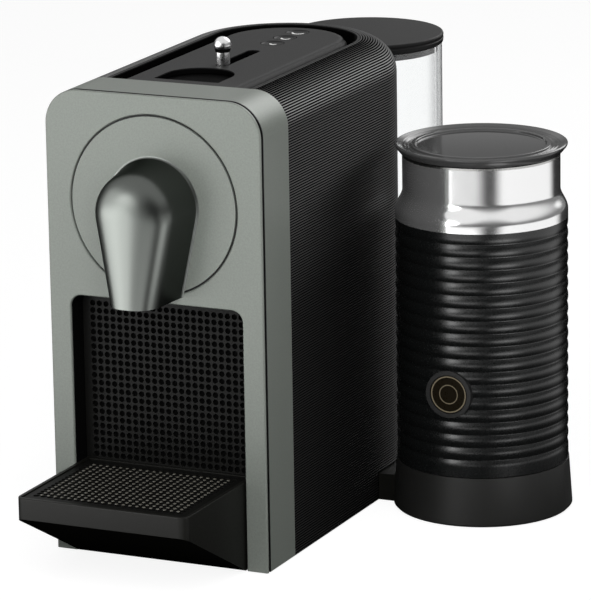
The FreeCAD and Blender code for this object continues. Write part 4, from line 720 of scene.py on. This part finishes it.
class COFFEE_OT_marks(Operator):
    """Printed cup marks in the dished buttons, larger for a larger cup"""
    bl_idname = "coffee.marks"
    bl_label = "Cup marks"

    def execute(self, context):
        sizes = context.scene.machine_sizes
        angle = np.linspace(MARK_OPEN - HALF, -MARK_OPEN, MARK_STEPS)[None, :]
        across = sizes.mark_width * np.array([[-0.5], [0.5]])
        rise = sizes.mark_rise
        for label, middle_radius in MARK_RADII.items():
            low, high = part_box(f"{label}_cup_button")
            middle = (low + high) / 2
            floor_radius = middle.y - low.y - sizes.dish_side
            radius = middle_radius + across * np.sin(-angle) ** MARK_TAPER
            x, y = radius * np.cos(angle), radius * np.sin(angle) + sizes.mark_width
            rim = high.z - sizes.dish_depth + sizes.dish_floor * np.hypot(x, y) / floor_radius
            top = np.stack([middle.x + x, middle.y + y, rim + rise], axis=-1)
            mark = np.concatenate([top, top[::-1] - np.array([0, 0, 2 * rise])])
            end = np.arange(len(mark)) * MARK_STEPS
            piece(f"{label}_cup_mark", mark, f"{label}_button", printed_ink, wrap_rows=True,
                  caps=[end, end + MARK_STEPS - 1])
        return {"FINISHED"}


class COFFEE_OT_studs(Operator):
    """Raised dots between the holes of the drip grid: z = height * sin t and r = radius * cos t"""
    bl_idname = "coffee.studs"
    bl_label = "Grid dots"

    def execute(self, context):
        sizes = context.scene.machine_sizes
        low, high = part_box("drip_grid")
        pitch, span = sizes.hole_pitch, high - low
        counts = [int((reach - 2 * sizes.hole_margin) // pitch) for reach in (span.x, span.y)]
        x, y = [start + (reach - count * pitch) / 2 + (np.arange(count) + 0.5) * pitch
                for start, reach, count in zip((low.x, low.y), (span.x, span.y), counts)]
        places = np.stack(np.meshgrid(x, y, [0.0]), axis=-1).reshape(-1, 1, 1, 3)
        t = np.linspace(0, QUARTER, STUD_ROWS)
        dome = np.stack([sizes.stud_radius * np.cos(t), high.z + sizes.stud_height * np.sin(t)], axis=1)
        root = high.z - sizes.stud_root
        outline = np.concatenate([[[0, root], [sizes.stud_radius, root]], dome])
        piece("grid_dots", turned(outline, Vector(), STUD_TURNS) + places, "grid", stud_highlight_abs,
              wrap_columns=True)
        return {"FINISHED"}


def plug(radius, wall, top, bottom, roof, reaches):
    """Outline corners of a hollow plug: down its outside, up its inside and in along its roof."""
    across = [radius, radius, radius - wall, radius - wall, 0]
    up = [top, bottom, bottom, roof, roof]
    return np.stack([across, up, [*(np.array(reaches) * MM), 0]], axis=1)


class COFFEE_OT_tank_lid(Operator):
    """Lid of the tank: a flat top over a narrow groove and a plug"""
    bl_idname = "coffee.tank_lid"
    bl_label = "Tank lid"

    def execute(self, context):
        sizes = context.scene.lid_sizes
        top = TANK_LID_HIGH.z
        edge = shifted(TANK_LID_EDGE, (TANK_LID_HIGH.x - TANK_LID_LOW.x) / 2, top)
        low = edge[-1, 1]
        inside = plug(sizes.tank_plug, sizes.tank_wall, low, TANK_LID_LOW.z, low, TANK_PLUG_REACHES)
        outline = np.concatenate([[[0, top, 0]], edge, inside])
        piece("tank_cover", turned(rounded(outline), TANK_AXIS), "tank_cover", deck_abs,
              ["tank_lid"], wrap_columns=True)
        return {"FINISHED"}


class COFFEE_OT_sleeve(Operator):
    """Waved black sleeve of the jug"""
    bl_idname = "coffee.sleeve"
    bl_label = "Jug sleeve"

    def execute(self, context):
        piece("waved_sleeve", waved_sleeve(context.scene.frother_sizes), "jug", soft_coating,
              ["jug_sleeve"], wrap_rows=True, wrap_columns=True, crease=60)
        return {"FINISHED"}


class COFFEE_OT_collar(Operator):
    """Polished collar of the jug: its shoulder follows r = neck + (foot - neck) * (1 + cos(pi t)) / 2"""
    bl_idname = "coffee.collar"
    bl_label = "Jug collar"

    def execute(self, context):
        sizes = context.scene.frother_sizes
        low, top, wall = COLLAR_LOW.z, COLLAR_HIGH.z, sizes.collar_wall
        wide, neck = (COLLAR_HIGH.x - COLLAR_LOW.x) / 2, sizes.collar_neck
        share = np.linspace(0, 1, COLLAR_ROWS)
        reach = neck + (wide - neck) * (1 + np.cos(HALF * share)) / 2
        height = low + sizes.collar_band + sizes.collar_shoulder * share
        outer = np.array([[wide, *reach, neck], [low, *height, top]]).T
        outline = np.concatenate([outer, outer[::-1] - np.array([wall, 0])])
        piece("polished_collar", turned(outline, JUG_AXIS, COLLAR_TURNS), "jug", chrome, ["jug_collar"],
              wrap_rows=True, wrap_columns=True)
        return {"FINISHED"}


class COFFEE_OT_jug_lid(Operator):
    """Smoky lid of the jug: a flared saucer with a raised ring and a plug"""
    bl_idname = "coffee.jug_lid"
    bl_label = "Jug lid"

    def execute(self, context):
        sizes = context.scene.lid_sizes
        top = JUG_LID_HIGH.z
        dish = top - sizes.jug_dish
        ring = shifted(JUG_LID_RING, sizes.jug_ring, dish)
        edge = shifted(JUG_LID_EDGE, (JUG_LID_HIGH.x - JUG_LID_LOW.x) / 2, top)
        start, slope = ring[-1, :2], edge[0, :2] - ring[-1, :2]
        grooves = [shifted(JUG_LID_GROOVE, *(start + slope * share)) for share in GROOVE_SHARES]
        inside = plug(sizes.jug_plug, sizes.jug_wall, edge[-1, 1], JUG_LID_LOW.z, dish - sizes.jug_wall,
                      JUG_PLUG_REACHES)
        outline = np.concatenate([[[0, dish, 0]], ring, *grooves, edge, inside])
        piece("smoky_lid", turned(rounded(outline), JUG_AXIS), "jug_cover", smoky_plastic,
              ["jug_lid"], wrap_columns=True)
        return {"FINISHED"}


# Camera of the photograph: place in metres, angles in degrees, lens in millimetres
CAMERA_PLACE = (1.05476, -2.24899, 0.74589)
CAMERA_TURN = 25.02
CAMERA_RISE = 14.46
CAMERA_ROLL = -0.94
CAMERA_LENS = 273.9
CAMERA_CLIP = (0.1, 50.0)
FLOOR_REACH = 6.0
FLOOR_GLOW = 0.88
FLOOR_MIDDLE = (0.06, -0.08, 0.0)
NOSE_FOOT = (0.0, -0.2, 0.0)
SIDE_POOL = (0.4, -0.22, 0.0)
SIDE_POOL_FADE = (0.17, 0.05, 0.0, 4.0)
# Lamps: place, target, width, height and radiance
LAMPS = {
    "key_softbox": ((0.25, -0.78, 0.52), (0.0, -0.16, 0.25), 0.5, 0.7, 5.6),
    "side_softbox": ((0.72, -0.54, 0.48), (0.0, -0.18, 0.48), 0.4, 0.92, 2.2),
    "rear_softbox": ((0.42, 1.40, 0.80), (0.05, 0.0, 0.25), 0.7, 0.4, 3.0),
    "top_softbox": ((0.1, 0.2, 1.4), (0.05, 0.0, 0.2), 1.2, 0.8, 1.4),
}
# Light of the floor in gloss: middle, azimuth, reach and core of each patch, and the fades of its strength
# with the distance from the middle: start, end, strength before and after
FLOOR_PATCHES = (
    (FLOOR_MIDDLE, -8, 46, 24, ((0.2, 0.4, 0.04, 3.4), (0.48, 0.78, 0.0, -2.7))),
    (FLOOR_MIDDLE, 98, 54, 36, ((0.2, 0.5, 0.04, 1.2),)),
    (NOSE_FOOT, -50, 34, 22, ((0.15, 0.5, 0.0, 4.6), (0.5, 1.2, 0.0, 3.0))),
)
# Light of the surroundings in gloss: azimuth, elevation, reach, core and strength of each patch, and the fade of
# the ceiling with the height of the direction
SKY_PATCHES = ((-24, 15, 18, 6, 6.5), (-58, 8, 34, 10, 2.6), (167, 30, 26, 8, 4.0))
CEILING_FADE = (0.14, 0.5, 0.2, 1.0)
CEILING_GAP = (36, 10, 36, 10, -0.8)
# Diffuse light of the surroundings: azimuth and elevation of its bright side, and its fade round to there
BRIGHT_SIDE = (50, 20)
BRIGHT_FADE = (-0.5, 0.7, 0.12, 0.4)


def from_azimuth(azimuth, elevation):
    """Unit vector towards a place, by degrees round from the front to the right and up from the floor."""
    turn, rise = math.radians(azimuth), math.radians(elevation)
    return Vector((math.sin(turn) * math.cos(rise), -math.cos(turn) * math.cos(rise), math.sin(rise)))


def softbox(name, place, target, width, height, radiance):
    """Soft lamp at a place, aimed at a target; its power is pi * area * radiance.

    Gloss shows the soft patches of the surroundings and the floor in its place.
    """
    lamp = bpy.data.lights.new(name, "AREA")
    lamp.shape = "RECTANGLE"
    lamp.size, lamp.size_y, lamp.energy = width, height, HALF * width * height * radiance
    made = placed(name, lamp)
    made.location = place
    made.visible_glossy = False
    made.rotation_euler = (Vector(place) - Vector(target)).to_track_quat("Z", "Y").to_euler()


def patch(tree, heading, azimuth, elevation, reach, core, strength):
    """Soft patch round a direction: full inside the core angle and gone at the reach angle, in degrees."""
    facing = vector_node(tree, "DOT_PRODUCT", heading, from_azimuth(azimuth, elevation))
    return fade(tree, facing, math.cos(math.radians(reach)), math.cos(math.radians(core)), 0.0, strength)


def total(tree, first, *others):
    """Sum of values."""
    for other in others:
        first = math_node(tree, "ADD", first, other)
    return first


def seen_white(tree):
    """Light path outputs, and a share that is 1 where the camera sees a surface, straight or through glass."""
    path = add(tree, "ShaderNodeLightPath").outputs
    return path, math_node(tree, "MAXIMUM", path["Is Camera Ray"], path["Is Transmission Ray"])


class COFFEE_OT_studio(Operator):
    """Camera, soft lamps, pale floor and white surroundings"""
    bl_idname = "coffee.studio"
    bl_label = "Studio"

    def execute(self, context):
        self.camera(context)
        self.floor()
        self.surroundings(context)
        for name, settings in LAMPS.items():
            softbox(name, *settings)
        context.scene.view_settings.view_transform = "Standard"
        return {"FINISHED"}

    def camera(self, context):
        """Camera at the photograph's place, turned, tilted and rolled as there."""
        lens = bpy.data.cameras.new("camera")
        lens.lens = CAMERA_LENS
        lens.clip_start, lens.clip_end = CAMERA_CLIP
        back, level = from_azimuth(CAMERA_TURN, CAMERA_RISE), from_azimuth(CAMERA_TURN + 90, 0)
        right = Matrix.Rotation(math.radians(CAMERA_ROLL), 3, back) @ level
        axes = Matrix((right, back.cross(right), back)).transposed()
        context.scene.camera = placed("camera", lens)
        context.scene.camera.matrix_world = Matrix.Translation(CAMERA_PLACE) @ axes.to_4x4()

    def floor(self):
        """Pale floor: white to the camera, grey to diffuse light, soft patches to gloss."""
        mesh = bpy.data.meshes.new("floor")
        corners = [(across * FLOOR_REACH, along * FLOOR_REACH, 0)
                   for across, along in ((-1, -1), (1, -1), (1, 1), (-1, 1))]
        mesh.from_pydata(corners, [], [(0, 1, 2, 3)])
        material = bpy.data.materials.new("pale_floor")
        material.use_nodes = True
        tree = material.node_tree
        tree.nodes.clear()
        path, seen = seen_white(tree)
        paper = add(tree, "ShaderNodeBsdfDiffuse", {"Color": linear("#7c7c7c")}).outputs[0]
        glow = add(tree, "ShaderNodeEmission", {"Strength": FLOOR_GLOW}).outputs[0]
        white = add(tree, "ShaderNodeAddShader", {0: paper, 1: glow}).outputs[0]
        grey = add(tree, "ShaderNodeBsdfDiffuse", {"Color": linear("#707070")}).outputs[0]
        sheet = add(tree, "ShaderNodeEmission", {"Strength": self.floor_gloss(tree)}).outputs[0]
        mirrored = add(tree, "ShaderNodeMixShader", {0: path["Is Glossy Ray"], 1: grey, 2: sheet}).outputs[0]
        both = add(tree, "ShaderNodeMixShader", {0: seen, 1: mirrored, 2: white}).outputs[0]
        add(tree, "ShaderNodeOutputMaterial", {"Surface": both})
        mesh.materials.append(material)
        made = placed("floor", mesh)

    def floor_gloss(self, tree):
        """Strength of the floor's light in gloss: the sum of its patches."""
        place = add(tree, "ShaderNodeTexCoord").outputs["Object"]
        glows = [fade(tree, vector_node(tree, "DISTANCE", place, SIDE_POOL), *SIDE_POOL_FADE)]
        for middle, azimuth, reach, core, fades in FLOOR_PATCHES:
            moved = vector_node(tree, "SUBTRACT", place, middle)
            away, way = vector_node(tree, "LENGTH", moved), vector_node(tree, "NORMALIZE", moved)
            level = total(tree, *[fade(tree, away, *steps) for steps in fades])
            glows.append(math_node(tree, "MULTIPLY", patch(tree, way, azimuth, 0, reach, core, 1.0), level))
        return total(tree, *glows)

    def surroundings(self, context):
        """World: white to the camera, dim and brighter on the right to diffuse light, soft patches to gloss."""
        world = bpy.data.worlds.new("studio")
        world.use_nodes = True
        context.scene.world = world
        tree = world.node_tree
        tree.nodes.clear()
        path, seen = seen_white(tree)
        heading = add(tree, "ShaderNodeTexCoord").outputs["Generated"]
        facing = vector_node(tree, "DOT_PRODUCT", heading, from_azimuth(*BRIGHT_SIDE))
        soft = fade(tree, facing, *BRIGHT_FADE)
        height = add(tree, "ShaderNodeSeparateXYZ", {0: heading}).outputs["Z"]
        gap = total(tree, patch(tree, heading, *CEILING_GAP), 1.0)
        overhead = math_node(tree, "MULTIPLY", fade(tree, height, *CEILING_FADE), gap)
        sky = total(tree, overhead, *[patch(tree, heading, *glow) for glow in SKY_PATCHES])
        mirrored = add(tree, "ShaderNodeMix", {0: path["Is Glossy Ray"], 2: soft, 3: sky}, data_type="FLOAT")
        strength = add(tree, "ShaderNodeMix", {0: seen, 2: mirrored.outputs[0], 3: 1.0}, data_type="FLOAT")
        light = add(tree, "ShaderNodeBackground", {"Color": linear("#ffffff"), "Strength": strength.outputs[0]})
        add(tree, "ShaderNodeOutputWorld", {"Surface": light.outputs[0]})


PIECES = (COFFEE_OT_finishes, COFFEE_OT_shell, COFFEE_OT_nose, COFFEE_OT_knob, COFFEE_OT_marks, COFFEE_OT_studs,
          COFFEE_OT_tank_lid, COFFEE_OT_sleeve, COFFEE_OT_collar, COFFEE_OT_jug_lid, COFFEE_OT_studio)


class COFFEE_PT_sidebar(Panel):
    """Lists the pieces and their sizes"""
    bl_idname = "COFFEE_PT_sidebar"
    bl_label = "Pod coffee machine"
    bl_space_type = "VIEW_3D"
    bl_region_type = "UI"
    bl_category = "Coffee"

    def draw(self, context):
        for operator in PIECES:
            self.layout.operator(operator.bl_idname)
        for settings, group in GROUPS.items():
            for name in group.__annotations__:
                self.layout.prop(getattr(context.scene, settings), name)


GROUPS = {
    "machine_sizes": MachineSizes,
    "frother_sizes": FrotherSizes,
    "lid_sizes": LidSizes,
    "machine_finish": MachineFinish,
}
CLASSES = (*GROUPS.values(), *PIECES, COFFEE_PT_sidebar)


def register():
    """Make the classes and their settings known to Blender."""
    for item in CLASSES:
        bpy.utils.register_class(item)
    for settings, group in GROUPS.items():
        setattr(bpy.types.Scene, settings, PointerProperty(type=group))


def unregister():
    """Take the classes and their settings away again."""
    for settings in reversed(GROUPS):
        delattr(bpy.types.Scene, settings)
    for item in reversed(CLASSES):
        bpy.utils.unregister_class(item)


def main():
    """Build every piece in order."""
    register()
    for operator in PIECES:
        group, name = operator.bl_idname.split(".")
        getattr(getattr(bpy.ops, group), name)()


if __name__ == "__main__":
    main()
